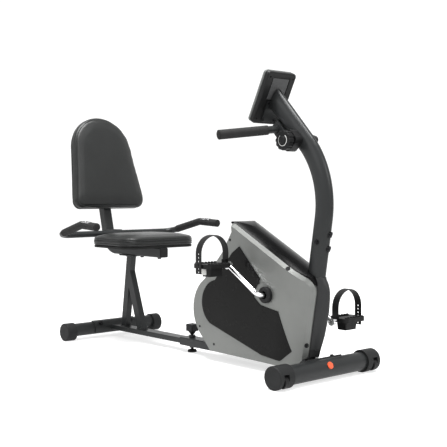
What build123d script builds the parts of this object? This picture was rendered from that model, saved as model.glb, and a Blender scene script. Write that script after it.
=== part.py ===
"""Recumbent exercise bike: a fixed front frame with belt-driven flywheel, and a sliding seat carriage.

Frame: +X points forward (from the seat to the console), +Y to the rider's left, +Z up.
The origin is on the floor, under the middle of the bike's bounding box. All sizes are in millimetres.
"""
import math
import os

from build123d import *

os.makedirs("parts", exist_ok=True)

# ---------------------------------------------------------------- driving dimensions
front_x = 642.5                    # axis of the front stabiliser tube
rear_x = front_x - 1198            # axis of the rear stabiliser tube

front_tube_r, front_tube_z = 31, 37
front_tube_half = 196              # half length of the front tube, up to the wheel in the end cap
front_cap_r, front_cap_end = 37.8, 241
rear_tube_r, rear_tube_z = 26, 40
rear_cap_r, rear_cap_z, rear_cap_end = 35.8, 35, 238
rear_tube_half = 217

rail_w, rail_low, rail_high, rail_wall = 60, 25, 55, 4      # outer rail of the main frame
rail_rear_x = front_x - 708
slide_w, slide_low, slide_high = 50, 30, 50                 # inner rail of the seat carriage
slide_front_x = front_x - 430

mast_a, mast_b, mast_wall = 70, 40, 3        # oval mast tube: depth along X, width along Y, wall
mast_slope = 0.1556                          # forward lean of the lower mast
mast_joint = (front_x - 26, 407)             # where the upper mast stands on the lower stub
mast_knee = (front_x + 14, 664)              # corner that the big bend rounds off
mast_knee_r = 300
mast_top = (front_x - 232, 926.6)            # mast end against the console

bar_r = 12.7                                 # 25.4 mm handlebar and seat-handle tube
foam_r = 16
bar_mid = (front_x - 200, 817)
bar_end = (front_x - 258, 226, 794)

crank_x, crank_z = front_x - 203, 263.0
crank_arm, crank_angle = 162, 35.5           # arm length, and its angle above the horizontal at rest
crank_r = 9
arm_y_hub, arm_y_pedal = 103, 118
pedal_y = 192
pulley_y, pulley_w = 27, 12                  # middle and width of the belt drive
crank_pulley_r, wheel_pulley_r = 98, 19
fly_x, fly_z, fly_r, fly_w = front_x - 440, 172.0, 105, 28

shroud_y, shroud_in, shroud_wall = 66, 22, 3
panel_t = 2.5
foot_x = front_x - 670

seat_tube = 38                               # square tube under the seat and behind the back
seat_tube_z = 367.5
seat_tube_front = front_x - 845
back_tan = math.tan(math.radians(14))        # rearward lean of the backrest
back_corner_x = front_x - 1208.7
back_tube_top = 760

seat_x0, seat_x1, seat_half = front_x - 1118, front_x - 838, 180
seat_low, seat_high, board_t = 386.5, 434, 8
back_low, back_high = 538, 932
back_half_low, back_half_top, back_t, back_board_t = 181, 150, 40, 5

handle_corner = (front_x - 1157, 283, 434)
handle_bend = (front_x - 974, 296, 481)
handle_end = (front_x - 868, 300, 476)

console_w, console_h, console_t = 134, 186, 28
console_mid = (front_x - 231, 923)           # middle of the console's back face
console_dir = (0.8944, -0.4472)              # outward normal of that face, in X and Z

knob_x, knob_z, knob_r = front_x - 120, 776, 33

all_parts = {}


def keep(name, part):
    """Label a finished piece and write its STEP file."""
    part.label = name
    all_parts[name] = part
    export_step(part, f"parts/{name}.step")


def xz_plane(y):
    """Sketch plane at this y: local x is +X, local y is +Z, normal -Y."""
    return Plane(origin=(0, y, 0), x_dir=(1, 0, 0), z_dir=(0, -1, 0))


def cylinder(r, height):
    """Private cylinder standing on the origin."""
    return Cylinder(r, height, align=(Align.CENTER, Align.CENTER, Align.MIN), mode=Mode.PRIVATE)


def rod_y(x, z, y0, y1, r):
    """Private cylinder along Y from y0 to y1."""
    low, high = min(y0, y1), max(y0, y1)
    plane = Plane(origin=(x, low, z), x_dir=(1, 0, 0), z_dir=(0, 1, 0))
    return plane * cylinder(r, high - low)


def rod_z(x, y, z0, z1, r):
    """Private upright cylinder from z0 to z1."""
    return Pos(x, y, z0) * cylinder(r, z1 - z0)


def box(x0, x1, y0, y1, z0, z1):
    """Private box between these limits."""
    middle = Pos((x0 + x1) / 2, (y0 + y1) / 2, (z0 + z1) / 2)
    return middle * Box(abs(x1 - x0), abs(y1 - y0), abs(z1 - z0), mode=Mode.PRIVATE)


def hex_rod(plane, across, height):
    """Private hexagonal prism standing on a plane."""
    return plane * extrude(RegularPolygon(across / 2, 6, major_radius=False), height)


def rod_between(a, b, r):
    """Private cylinder from point a to point b."""
    axis = Vector(b) - Vector(a)
    return Plane(origin=a, z_dir=axis) * cylinder(r, axis.length)


def mast_x(z):
    """X of the lower mast's centre line at height z."""
    return mast_joint[0] + mast_slope * (z - mast_joint[1])


# ---------------------------------------------------------------- stabilisers
with BuildPart() as front_stabiliser:
    add(rod_y(front_x, front_tube_z, -front_tube_half, front_tube_half, front_tube_r))
    add(rod_y(front_x, front_tube_z, -front_tube_half - 1, front_tube_half + 1, front_tube_r - 2.5),
        mode=Mode.SUBTRACT)
keep("front_stabiliser", front_stabiliser.part)

wheel_x, wheel_z, wheel_y, wheel_r, wheel_w = front_x + 20, 26, 214, 20, 17
with BuildPart() as front_end_caps:
    for side in (-1, 1):
        add(rod_y(front_x, front_tube_z, side * 178, side * front_cap_end, front_cap_r))
    fillet(front_end_caps.faces().filter_by(Axis.Y).group_by(Axis.Y)[0].edges(), 4)
    fillet(front_end_caps.faces().filter_by(Axis.Y).group_by(Axis.Y)[-1].edges(), 4)
    add(rod_y(front_x, front_tube_z, -front_tube_half - 0.3, front_tube_half + 0.3, front_tube_r + 0.05),
        mode=Mode.SUBTRACT)
    for side in (-1, 1):
        slot_y = side * wheel_y
        add(box(front_x - 3, front_x + 60, slot_y - 11, slot_y + 11, -5, 50), mode=Mode.SUBTRACT)
        add(rod_y(wheel_x, wheel_z, slot_y - 17, slot_y + 17, 4.05), mode=Mode.SUBTRACT)
    add(box(front_x - 60, front_x + 60, -300, 300, -20, 0), mode=Mode.SUBTRACT)
keep("front_end_caps", front_end_caps.part)

for name, side in (("right_transport_wheel", -1), ("left_transport_wheel", 1)):
    with BuildPart() as transport_wheel:
        mid = side * wheel_y
        add(rod_y(wheel_x, wheel_z, mid - wheel_w / 2, mid + wheel_w / 2, wheel_r))
        fillet(transport_wheel.edges(), 2)
        add(rod_y(wheel_x, wheel_z, mid - 16.5, mid + 16.5, 4))
    keep(name, transport_wheel.part)

with BuildPart() as rear_stabiliser:
    add(rod_y(rear_x, rear_tube_z, -rear_tube_half, rear_tube_half, rear_tube_r))
    add(rod_y(rear_x, rear_tube_z, -rear_tube_half - 1, rear_tube_half + 1, rear_tube_r - 2.5),
        mode=Mode.SUBTRACT)
keep("rear_stabiliser", rear_stabiliser.part)

with BuildPart() as rear_end_caps:
    for side in (-1, 1):
        add(rod_y(rear_x, rear_cap_z, side * 196, side * rear_cap_end, rear_cap_r))
    fillet(rear_end_caps.faces().filter_by(Axis.Y).group_by(Axis.Y)[0].edges(), 4)
    fillet(rear_end_caps.faces().filter_by(Axis.Y).group_by(Axis.Y)[-1].edges(), 4)
    add(rod_y(rear_x, rear_tube_z, -rear_tube_half - 0.3, rear_tube_half + 0.3, rear_tube_r + 0.05),
        mode=Mode.SUBTRACT)
    add(box(rear_x - 60, rear_x + 60, -300, 300, -20, 0), mode=Mode.SUBTRACT)
keep("rear_end_caps", rear_end_caps.part)


def saddle(x, z, r, angle0, angle1, half):
    """Private curved plate, 4 mm thick, that hugs a stabiliser tube between two angles above +X."""
    with BuildPart() as plate:
        with BuildSketch(xz_plane(half)):
            with BuildLine():
                a0, a1 = math.radians(angle0), math.radians(angle1)
                am = (a0 + a1) / 2
                def at(radius, angle):
                    return (x + radius * math.cos(angle), z + radius * math.sin(angle))
                ThreePointArc(at(r, a0), at(r, am), at(r, a1))
                Line(at(r, a1), at(r + 4, a1))
                ThreePointArc(at(r + 4, a1), at(r + 4, am), at(r + 4, a0))
                Line(at(r + 4, a0), at(r, a0))
            make_face()
        extrude(amount=2 * half)
    return plate.part


def saddle_bolts(x, z, r, angle, y):
    """Private pair of domed bolts, pointing out of the saddle at an angle above +X."""
    turn = math.radians(angle)
    out = (math.cos(turn), 0, math.sin(turn))
    group = []
    for side in (-1, 1):
        foot = Plane(origin=(x + r * out[0], side * y, z + r * out[2]), x_dir=(0, 1, 0), z_dir=out)
        shank = foot.offset(-12) * cylinder(4, 12)
        washer = foot * cylinder(9, 1.6)
        nut = hex_rod(foot.offset(1.6), 13, 6)
        dome = foot.offset(7.6) * Cone(5.5, 3, 3.5, align=(Align.CENTER, Align.CENTER, Align.MIN),
                                       mode=Mode.PRIVATE)
        group.append(shank + washer + nut + dome)
    return group


front_saddle = saddle(front_x, front_tube_z, front_tube_r + 0.1, 100, 205, 88)
front_bolt_parts = saddle_bolts(front_x, front_tube_z, front_tube_r + 4.1, 138, 67)
rear_saddle = saddle(rear_x, rear_tube_z, rear_tube_r + 0.1, -38, 95, 104)
rear_bolt_parts = saddle_bolts(rear_x, rear_tube_z, rear_tube_r + 4.1, 40, 76)


def bolt_holes(x, z, r, angle, y):
    """Private pair of shank holes to cut where the saddle bolts pass."""
    turn = math.radians(angle)
    out = (math.cos(turn), 0, math.sin(turn))
    holes = []
    for side in (-1, 1):
        foot = Plane(origin=(x + r * out[0], side * y, z + r * out[2]), x_dir=(0, 1, 0), z_dir=out)
        holes.append(foot.offset(-16) * cylinder(4, 20))
    return holes


front_holes = bolt_holes(front_x, front_tube_z, front_tube_r + 4.1, 138, 67)
rear_holes = bolt_holes(rear_x, rear_tube_z, rear_tube_r + 4.1, 40, 76)
for name, tube, holes in (
    ("front_stabiliser", front_stabiliser, front_holes),
    ("rear_stabiliser", rear_stabiliser, rear_holes),
):
    drilled = tube.part
    for hole in holes:
        drilled = drilled - hole
    keep(name, drilled)

keep("front_saddle_bolts", Compound(front_bolt_parts))
keep("rear_saddle_bolts", Compound(rear_bolt_parts))

badge_turn = math.radians(27)
badge_out = (math.cos(badge_turn), 0, math.sin(badge_turn))
with BuildPart() as front_reflector:
    seat_plane = Plane(origin=(front_x + (front_tube_r - 3) * badge_out[0], -6,
                               front_tube_z + (front_tube_r - 3) * badge_out[2]),
                       x_dir=(0, 1, 0), z_dir=badge_out)
    add(seat_plane * cylinder(12, 5.4))
    add(rod_y(front_x, front_tube_z, -40, 40, front_tube_r + 0.02), mode=Mode.SUBTRACT)
keep("front_reflector", front_reflector.part)

# ---------------------------------------------------------------- main frame
mast_plane = Plane(origin=(mast_joint[0], 0, mast_joint[1]), x_dir=(1, 0, -mast_slope),
                   z_dir=(mast_slope, 0, 1))
stub_length = (mast_joint[1] - rail_high + 2) * math.sqrt(1 + mast_slope ** 2)
sleeve_rise = 96


def oval_tube(plane, a, b, wall, height):
    """Private oval tube standing on a plane."""
    tube = extrude(plane * Ellipse(a / 2, b / 2), height)
    core = extrude(plane * Ellipse(a / 2 - wall, b / 2 - wall), height)
    return tube - core


lower_mast = oval_tube(mast_plane.offset(-stub_length), mast_a, mast_b, mast_wall, stub_length)
mast_sleeve = oval_tube(mast_plane.offset(-60), mast_a - 2 * mast_wall, mast_b - 2 * mast_wall, 2.5,
                        60 + sleeve_rise)
axle_slot = rod_y(fly_x, fly_z, -60, 60, 6.0)
bb_plate_y = ((-26, -22), (2, 6))
fly_plate_y = ((-28, -24), (42, 46))
pivot_turn = math.radians(112)
pivot_x, pivot_z = fly_x + 128 * math.cos(pivot_turn), fly_z + 128 * math.sin(pivot_turn)

with BuildPart() as main_frame:
    add(box(rail_rear_x, front_x - 33, -rail_w / 2, rail_w / 2, rail_low, rail_high))
    fillet(main_frame.edges().filter_by(Axis.X), 4)
    add(box(rail_rear_x - 1, front_x - 45, -rail_w / 2 + rail_wall, rail_w / 2 - rail_wall,
            rail_low + rail_wall, rail_high - rail_wall), mode=Mode.SUBTRACT)
    add(front_saddle)
    add(lower_mast)
    add(mast_sleeve)
    # bottom-bracket shell on its two plates
    add(rod_y(crank_x, crank_z, -50, 8, 24))
    for y0, y1 in bb_plate_y:
        with BuildSketch(xz_plane(y1)):
            with BuildLine():
                Polyline((crank_x - 74, rail_high - 1), (crank_x + 66, rail_high - 1),
                         (crank_x + 27, crank_z), (crank_x - 27, crank_z), close=True)
            make_face()
        extrude(amount=y1 - y0)
    add(rod_y(crank_x, crank_z, -51, 9, 20), mode=Mode.SUBTRACT)
    # strut from the shell to the mast
    add(box(crank_x + 22, mast_x(230) - 30, -20, 0, 218, 242))
    # two plates that carry the flywheel axle and the brake pivot
    for y0, y1 in fly_plate_y:
        with BuildSketch(xz_plane(y1)):
            with BuildLine():
                Polyline((fly_x - 62, rail_high - 1), (fly_x + 62, rail_high - 1), (fly_x + 26, fly_z + 22),
                         (fly_x - 16, fly_z + 40), (pivot_x + 14, pivot_z + 12), (pivot_x - 12, pivot_z + 12),
                         (pivot_x - 14, pivot_z - 12), (fly_x - 44, fly_z + 20), close=True)
            make_face()
        extrude(amount=y1 - y0)
    add(box(fly_x - 50, fly_x + 62, 28, 46, rail_high - 6, rail_high))
    add(axle_slot, mode=Mode.SUBTRACT)
    add(rod_y(pivot_x, pivot_z, -60, 60, 4.05), mode=Mode.SUBTRACT)
    # threaded collar for the clamp knob, nut for the levelling foot
    add(rod_z(foot_x, 0, rail_high - 1, rail_high + 9, 12.5))
    add(rod_z(foot_x, 0, rail_low - 9, rail_low + 1, 10))
    add(rod_z(foot_x, 0, rail_high - 6, rail_high + 12, 5.05), mode=Mode.SUBTRACT)
    add(rod_z(foot_x, 0, rail_low - 12, rail_low + 6, 5.05), mode=Mode.SUBTRACT)
    for hole in front_holes:
        add(hole, mode=Mode.SUBTRACT)

# ---------------------------------------------------------------- upper mast
console_plane = Plane(origin=(console_mid[0], 0, console_mid[1]), x_dir=(0, 1, 0),
                      z_dir=(console_dir[0], 0, console_dir[1]))
with BuildPart() as mast_tube:
    with BuildLine() as mast_line:
        FilletPolyline((mast_joint[0], 0, mast_joint[1]), (mast_knee[0], 0, mast_knee[1]),
                       (mast_top[0] - 6, 0, mast_top[1] + 6.4), radius=mast_knee_r)
    with BuildSketch(mast_plane):
        Ellipse(mast_a / 2, mast_b / 2)
        Ellipse(mast_a / 2 - mast_wall + 0.1, mast_b / 2 - mast_wall + 0.1, mode=Mode.SUBTRACT)
    sweep()
    add(console_plane.offset(4) * Box(300, 300, 120, align=(Align.CENTER, Align.CENTER, Align.MAX),
                                      mode=Mode.PRIVATE), mode=Mode.SUBTRACT)

bolt_parts = []
bolt_tools = []
for z in (428, 474):
    plane = Plane(origin=(mast_x(z) + mast_a / 2 + 0.2, 0, z), x_dir=(0, 1, 0), z_dir=(1, 0, -mast_slope))
    bolt_parts.append(plane.offset(-7) * cylinder(4, 8) + hex_rod(plane.offset(0.4), 12, 5.5))
    bolt_tools.append(plane.offset(-9) * cylinder(4, 12))
for side in (-1, 1):
    plane = Plane(origin=(mast_x(447), side * mast_b / 2, 447), x_dir=(1, 0, 0), z_dir=(0, side, 0))
    bolt_parts.append(plane.offset(-6) * cylinder(4, 6.5) + hex_rod(plane.offset(0.2), 12, 5.5))
    bolt_tools.append(plane.offset(-8) * cylinder(4, 10))
keep("mast_bolts", Compound(bolt_parts))
for name, drilled in (("mast_tube", mast_tube.part), ("main_frame", main_frame.part)):
    for tool in bolt_tools:
        drilled = drilled - tool
    keep(name, drilled)

# ---------------------------------------------------------------- handlebar, clamp and tension knob
mast_up = Vector(mast_top[0] - mast_knee[0], 0, mast_top[1] - mast_knee[1]).normalized()
mast_back = Vector(-mast_up.Z, 0, mast_up.X)             # across the upper mast, towards the rider
bar_inner = 30


def bar_tube(points, r, wall, bend_r):
    """Private round tube along a path with rounded corners; wall 0 gives a solid bar."""
    with BuildPart() as tube:
        with BuildLine() as path:
            FilletPolyline(*points, radius=bend_r)
        with BuildSketch(Plane(origin=path.line @ 0, z_dir=path.line % 0)):
            Circle(r)
            if wall:
                Circle(r - wall, mode=Mode.SUBTRACT)
        sweep()
    return tube.part


handlebar_points = [(bar_end[0], -bar_end[1], bar_end[2]), (bar_mid[0], -bar_inner, bar_mid[1]),
                    (bar_mid[0], bar_inner, bar_mid[1]), (bar_end[0], bar_end[1], bar_end[2])]
keep("handlebar", bar_tube(handlebar_points, bar_r, 1.8, 60))

grip_vector = Vector(*handlebar_points[0]) - Vector(*handlebar_points[1])
grip_unit = grip_vector.normalized()
foam_length = 176
grip_parts = []
for side in (-1, 1):
    tip = Vector(bar_end[0], side * bar_end[1], bar_end[2])
    unit = Vector(grip_unit.X, -side * grip_unit.Y, grip_unit.Z)
    foot = tip - unit * foam_length
    end = tip + unit * 4
    sleeve = rod_between(foot, end, foam_r)
    bore = rod_between(foot - unit, tip + unit * 0.2, bar_r + 0.05)
    grip_parts.append(sleeve - bore)
keep("handlebar_grips", Compound(grip_parts))

clamp_mid = Vector(bar_mid[0], 0, bar_mid[1])
clamp_plane = Plane(origin=clamp_mid, x_dir=(0, 1, 0), z_dir=mast_back)
mast_side = mast_a / 2
bar_gap = (clamp_mid - Vector(mast_top[0], 0, mast_top[1])).dot(mast_back)
clamp_bore = rod_y(bar_mid[0], bar_mid[1], -60, 60, bar_r + 0.05)
with BuildPart() as handlebar_clamp:
    with BuildSketch(clamp_plane.offset(mast_side - bar_gap - 7)):
        RectangleRounded(46, 52, 6)
    extrude(amount=bar_gap - mast_side + 7 + bar_r + 7)
    fillet(handlebar_clamp.faces().sort_by(Axis(clamp_mid, mast_back))[-1].edges(), 4)
    add(clamp_bore, mode=Mode.SUBTRACT)
    add(mast_tube.part, mode=Mode.SUBTRACT)
solid_mast = extrude(Plane(origin=(mast_top[0], 0, mast_top[1]), x_dir=mast_back, z_dir=mast_up)
                     * Ellipse(mast_a / 2 + 0.05, mast_b / 2 + 0.05), 260, both=True)
keep("handlebar_clamp", handlebar_clamp.part - solid_mast)

housing_plane = Plane(origin=(knob_x, -50, knob_z), x_dir=mast_up, z_dir=(0, -1, 0))
with BuildPart() as knob_housing:
    with BuildSketch(housing_plane.offset(-32)):
        RectangleRounded(58, 62, 16)
    extrude(amount=32)
    with BuildSketch(housing_plane):
        Circle(25)
    extrude(amount=5, taper=8)
    add(rod_y(knob_x, knob_z, -90, -40, 5.05), mode=Mode.SUBTRACT)
keep("knob_housing", knob_housing.part - solid_mast)

with BuildPart() as tension_knob:
    with BuildSketch(housing_plane.offset(6)):
        Circle(knob_r)
        with PolarLocations(knob_r + 3, 12):
            Circle(5.5, mode=Mode.SUBTRACT)
    extrude(amount=20)
    chamfer(tension_knob.faces().sort_by(Axis.Y)[0].edges(), 1.2)
    add(rod_y(knob_x, knob_z, -58, -42, 5))
keep("tension_knob", tension_knob.part)

# ---------------------------------------------------------------- console
console_front = console_plane.offset(-console_t)
with BuildPart() as console_back:
    with BuildSketch(console_plane.offset(-18)):
        RectangleRounded(console_w, console_h, 13)
    extrude(amount=18)
    fillet(console_back.faces().sort_by(Axis.X)[-1].edges(), 5)
    with BuildSketch(console_plane.offset(-18.5)):
        RectangleRounded(console_w - 6, console_h - 6, 10)
    extrude(amount=12, mode=Mode.SUBTRACT)
    # recessed field with ribs, and the screw pockets
    with BuildSketch(console_plane):
        with Locations((0, 18)):
            RectangleRounded(82, 122, 5)
    extrude(amount=-2.5, mode=Mode.SUBTRACT)
    with BuildSketch(console_plane.offset(-2.5)):
        with GridLocations(0, 9, 1, 7):
            with Locations((0, 24)):
                Rectangle(70, 3)
    extrude(amount=1.2)
    with BuildSketch(console_plane):
        with GridLocations(108, 150, 2, 2):
            Circle(3.2)
    extrude(amount=-6, mode=Mode.SUBTRACT)
keep("console_back", console_back.part)

button_at = [(-34, -62), (0, -62), (34, -62)]
with BuildPart() as console_bezel:
    with BuildSketch(console_front):
        RectangleRounded(console_w, console_h, 13)
    extrude(amount=console_t - 18.2)
    fillet(console_bezel.faces().sort_by(Axis.X)[0].edges(), 4)
    with BuildSketch(console_front):
        with Locations((0, 20)):
            RectangleRounded(102, 84, 5)
    extrude(amount=3, mode=Mode.SUBTRACT)
    with BuildSketch(console_front):
        with Locations(*button_at):
            RectangleRounded(24.6, 14.6, 5)
    extrude(amount=20, mode=Mode.SUBTRACT)
keep("console_bezel", console_bezel.part)

with BuildPart() as console_lens:
    with BuildSketch(console_front.offset(0.8)):
        with Locations((0, 20)):
            RectangleRounded(101.6, 83.6, 5)
    extrude(amount=2.2)
keep("console_lens", console_lens.part)

for index, (u, v) in enumerate(button_at):
    with BuildPart() as console_button:
        with BuildSketch(console_front.offset(-2)):
            with Locations((u, v)):
                RectangleRounded(24, 14, 4.7)
        extrude(amount=7)
        fillet(console_button.faces().sort_by(Axis.X)[0].edges(), 1)
    keep(("mode_button", "set_button", "reset_button")[index], console_button.part)

with BuildPart() as battery_door:
    with BuildSketch(console_plane.offset(-2.4)):
        with Locations((0, -28)):
            RectangleRounded(56, 26, 3)
    extrude(amount=2.0)
    with BuildSketch(console_plane.offset(-0.4)):
        with Locations((0, -20)):
            SlotOverall(16, 4)
    extrude(amount=0.4)
keep("battery_door", battery_door.part)

with BuildPart() as console_bracket:
    with BuildSketch(console_plane.offset(0.1)):
        with Locations((0, -46)):
            RectangleRounded(64, 74, 6)
    extrude(amount=3.8)
keep("console_bracket", console_bracket.part)

screw_parts = []
for u, v in [(-54, -75), (54, -75), (-54, 75), (54, 75)]:
    screw = console_plane.offset(-5.8) * Pos(u, v, 0) * cylinder(3.1, 3)
    screw_parts.append(screw)
for u, v in [(-26.5, -16), (26.5, -16), (-26.5, -76), (26.5, -76)]:
    screw = console_plane.offset(4) * Pos(u, v, 0) * cylinder(4.5, 2.6)
    screw_parts.append(screw)
keep("console_screws", Compound(screw_parts))

# ---------------------------------------------------------------- shroud
shroud_top_rear = (front_x - 392, 508)
shroud_top_front = (front_x - 10.2, 312.5)
shroud_front_low = (front_x - 52, 68)
shroud_lean = (shroud_top_front[0] - shroud_front_low[0]) / (shroud_top_front[1] - shroud_front_low[1])
shroud_fall = math.atan2(shroud_top_rear[1] - shroud_top_front[1], shroud_top_front[0] - shroud_top_rear[0])
side_curve, side_turn_in = 120, 30           # the outer side curves inwards over this length, by this much
shroud_bevel = 11
hood_half, hood_rise = 54, 13


def shroud_front(z):
    """X of the shroud's front line at height z."""
    return shroud_front_low[0] + shroud_lean * (z - shroud_front_low[1])


def shroud_outline(inset):
    """Side outline of the shroud: sloping top, upright front, big round rear."""
    with BuildSketch(Plane.XY) as outline:
        with BuildLine():
            Polyline((front_x - 492, 37), (front_x - 150, 31), (front_x - 78, 44), shroud_front_low,
                     shroud_top_front, shroud_top_rear, (front_x - 387, 452), (front_x - 422, 397),
                     (front_x - 522, 292))
            ThreePointArc((front_x - 522, 292), (front_x - 584, 176), (front_x - 545, 92))
            Line((front_x - 545, 92), (front_x - 492, 37))
        make_face()
        fillet(outline.vertices().sort_by(Axis.X)[-1:], 50)
        fillet(outline.vertices().sort_by(Axis.Y)[-1:], 14)
        if inset:
            offset(amount=-inset)
    return outline.sketch


def shroud_plan(side, outer, turned, low, high):
    """Private body whose outer side lies at this Y and curves inwards along the front line."""
    far, near = side * outer, side * turned
    drop = outer - turned
    r = (side_curve ** 2 + drop ** 2) / (2 * drop)
    half_turn = math.asin(side_curve / r) / 2
    edge = shroud_front(0)
    middle = (edge - side_curve + r * math.sin(half_turn), far - side * r * (1 - math.cos(half_turn)))
    with BuildPart() as body:
        with BuildSketch(Plane.XY):
            with BuildLine():
                Polyline((edge + 20, near - 10 * side), (edge + 20, low), (edge - 700, low),
                         (edge - 700, far), (edge - side_curve, far))
                ThreePointArc((edge - side_curve, far), middle, (edge, near))
                Line((edge, near), (edge + 20, near - 10 * side))
            make_face()
        extrude(amount=high, dir=(shroud_lean, 0, 1))
    return body.part


def is_bevelled(edge, inset):
    """True for the outer edges along the top, round the front corner and down the front."""
    at = edge.center()
    ends = [abs((edge @ t).Y) for t in (0, 1)]
    if min(ends) < shroud_in + 3:
        return False
    above = (at.X - shroud_top_rear[0]) * math.sin(shroud_fall) + (at.Z - shroud_top_rear[1]) * math.cos(shroud_fall)
    ahead = at.X - shroud_front(at.Z)
    reach = 3 + 1.5 * inset
    return abs(above) < reach or abs(ahead) < reach or (at.X > front_x - 80 and at.Z > 250)


def shroud_half(side, inset):
    """Private half of the shroud, solid, with its bevelled top and front."""
    with BuildPart() as half:
        with BuildSketch(xz_plane(side * shroud_in)):
            add(shroud_outline(inset))
        extrude(amount=-side * (shroud_y - shroud_in - inset))
        add(shroud_plan(side, shroud_y - inset, shroud_y - inset - side_turn_in, 0, 620), mode=Mode.INTERSECT)
        chosen = [edge for edge in half.edges() if is_bevelled(edge, inset)]
        chamfer(chosen, shroud_bevel - inset / 2)
    return half.part


ring_r, ring_hole_r, ring_out = 27.5, 13.5, 80
rail_channel = box(front_x - 760, front_x + 40, -31, 31, 0, rail_high + 1)
both_halves = {side: shroud_half(side, 0) for side in (-1, 1)}
bevel_screws = []
bevel_pockets = []
for side in (-1, 1):
    for x, z, out in ((-109, 357, (0.32, 0.71, 0.63)), (-50, 108, (0.85, 0.5, -0.14))):
        reach = shroud_y - 5.5 if z > 200 else 33
        spot = Plane(origin=(front_x + x, side * reach, z), z_dir=(out[0], side * out[1], out[2]))
        bevel_pockets.append(spot.offset(-2) * cylinder(5, 12))
        bevel_screws.append(spot.offset(-2) * cylinder(4.4, 1.8))
for name, side in (("right_shroud", -1), ("left_shroud", 1)):
    shell = both_halves[side] - shroud_half(side, shroud_wall)
    shell = shell - rail_channel
    for pocket in bevel_pockets:
        shell = shell - pocket
    shell = shell - rod_y(crank_x, crank_z, side * 50, side * 90, ring_hole_r + 2)
    keep(name, shell)


with BuildSketch(Plane.XY) as insert_outline:
    with BuildLine():
        Polyline((front_x - 487, 135), (front_x - 225, 57), (front_x - 141, 48), (front_x - 96, 84),
                 (front_x - 148, 212), (front_x - 179, 217), (front_x - 231, 226), (front_x - 262, 250),
                 (front_x - 257, 276), (front_x - 233, 314), (front_x - 336, 419), (front_x - 372, 395),
                 (front_x - 463, 293))
        ThreePointArc((front_x - 463, 293), (front_x - 531, 192), (front_x - 487, 135))
    make_face()
    fillet(insert_outline.vertices().group_by(Axis.Y)[0], 10)
for name, side in (("right_side_panel", -1), ("left_side_panel", 1)):
    slab = extrude(xz_plane(side * 30) * insert_outline.sketch, amount=-side * 60)
    keep(name, (slab & (Pos(0, side * panel_t, 0) * both_halves[side])) - both_halves[side])

solid_stub = extrude(mast_plane.offset(-stub_length - 20) * Ellipse(mast_a / 2 + 0.6, mast_b / 2 + 0.6), 480)
spine_out = shroud_outline(4)
spine_in = shroud_outline(7)
with BuildPart() as spine_cover:
    with BuildSketch(xz_plane(shroud_in - 0.1)):
        add(spine_out)
        add(spine_in, mode=Mode.SUBTRACT)
    extrude(amount=2 * (shroud_in - 0.1))
    add(box(front_x - 66, front_x + 40, -40, 40, 0, 400), mode=Mode.SUBTRACT)
    add(rail_channel, mode=Mode.SUBTRACT)
    add(solid_stub, mode=Mode.SUBTRACT)


def nose(inset):
    """Private nose in front of the shroud halves, solid: a stack of ovals about the mast."""
    sections = [(334, -3, 20), (320, 5, 22.5), (302, 13.5, 24), (280, 17.5, 24), (250, 16.8, 24),
                (220, 14, 24), (184, 6.5, 24), (148, -2.4, 24), (118, -12.5, 24), (92, -22.4, 24), (64, -30, 24)]
    with BuildPart() as body:
        for z, tip, half in sections:
            with BuildSketch(Plane(origin=(mast_x(z), 0, z))):
                Ellipse(front_x + tip - mast_x(z) - inset, half - inset)
        loft()
    return body.part


nose_outer = nose(0)
nose_inner = nose(3)
top_dir = (math.cos(shroud_fall), 0, -math.sin(shroud_fall))
hood_plane = Plane(origin=(shroud_top_rear[0], 0, shroud_top_rear[1]), x_dir=(0, 1, 0), z_dir=top_dir)
hood_side = Plane(origin=(shroud_top_rear[0], hood_half, shroud_top_rear[1]), x_dir=top_dir, z_dir=(0, -1, 0))
with BuildPart() as hood:
    with BuildSketch(hood_plane):
        with BuildLine():
            ThreePointArc((-hood_half, 0), (0, hood_rise), (hood_half, 0))
            Polyline((hood_half, 0), (hood_half, -8), (-hood_half, -8), (-hood_half, 0))
        make_face()
    extrude(amount=460)
    with BuildSketch(hood_side):
        with BuildLine():
            Spline((4, -3), (24, 6), (95, hood_rise + 0.5), tangents=((1, 0.9), (1, 0)))
            Polyline((95, hood_rise + 0.5), (500, hood_rise + 0.5), (500, -8), (4, -8), (4, -3))
        make_face()
    extrude(amount=2 * hood_half, mode=Mode.INTERSECT)
    with BuildSketch(xz_plane(hood_half)):
        with BuildLine():
            front_low = (shroud_front(240), 240)
            front_high = (shroud_front(327), 327)
            Polyline(front_low, front_high, (front_x - 392, 525), (front_x - 420, 525), (front_x - 420, 240),
                     front_low)
        make_face()
        fillet([v for v in vertices() if v.Y > 320 and v.X > front_x - 60], 55)
    extrude(amount=2 * hood_half, mode=Mode.INTERSECT)
hood_part = hood.part
for side in (-1, 1):
    hood_part = hood_part & shroud_plan(side, hood_half + 0.2, hood_half + 0.2 - side_turn_in, -side * 80, 620)
    hood_part = hood_part - both_halves[side]
cover_part = spine_cover.part + hood_part - solid_stub - nose_outer
keep("spine_cover", cover_part.solids().sort_by(SortBy.VOLUME)[-1])

noses = nose_outer - nose_inner - solid_stub - both_halves[-1] - both_halves[1]
noses = noses & box(front_x - 60, front_x + 60, -60, 60, 0, 345)
front_cover_part = noses - box(front_x - 100, front_x + 60, -60, 60, 0, 92)
foot_guard_part = noses & box(front_x - 60, front_x + 60, -60, 60, 70, 91.5)
foot_guard_part = foot_guard_part - rod_y(front_x, front_tube_z, -60, 60, front_tube_r + 4.3)
for name, part in (("front_cover", front_cover_part), ("foot_guard", foot_guard_part)):
    keep(name, part.solids().sort_by(SortBy.VOLUME)[-1])

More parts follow.
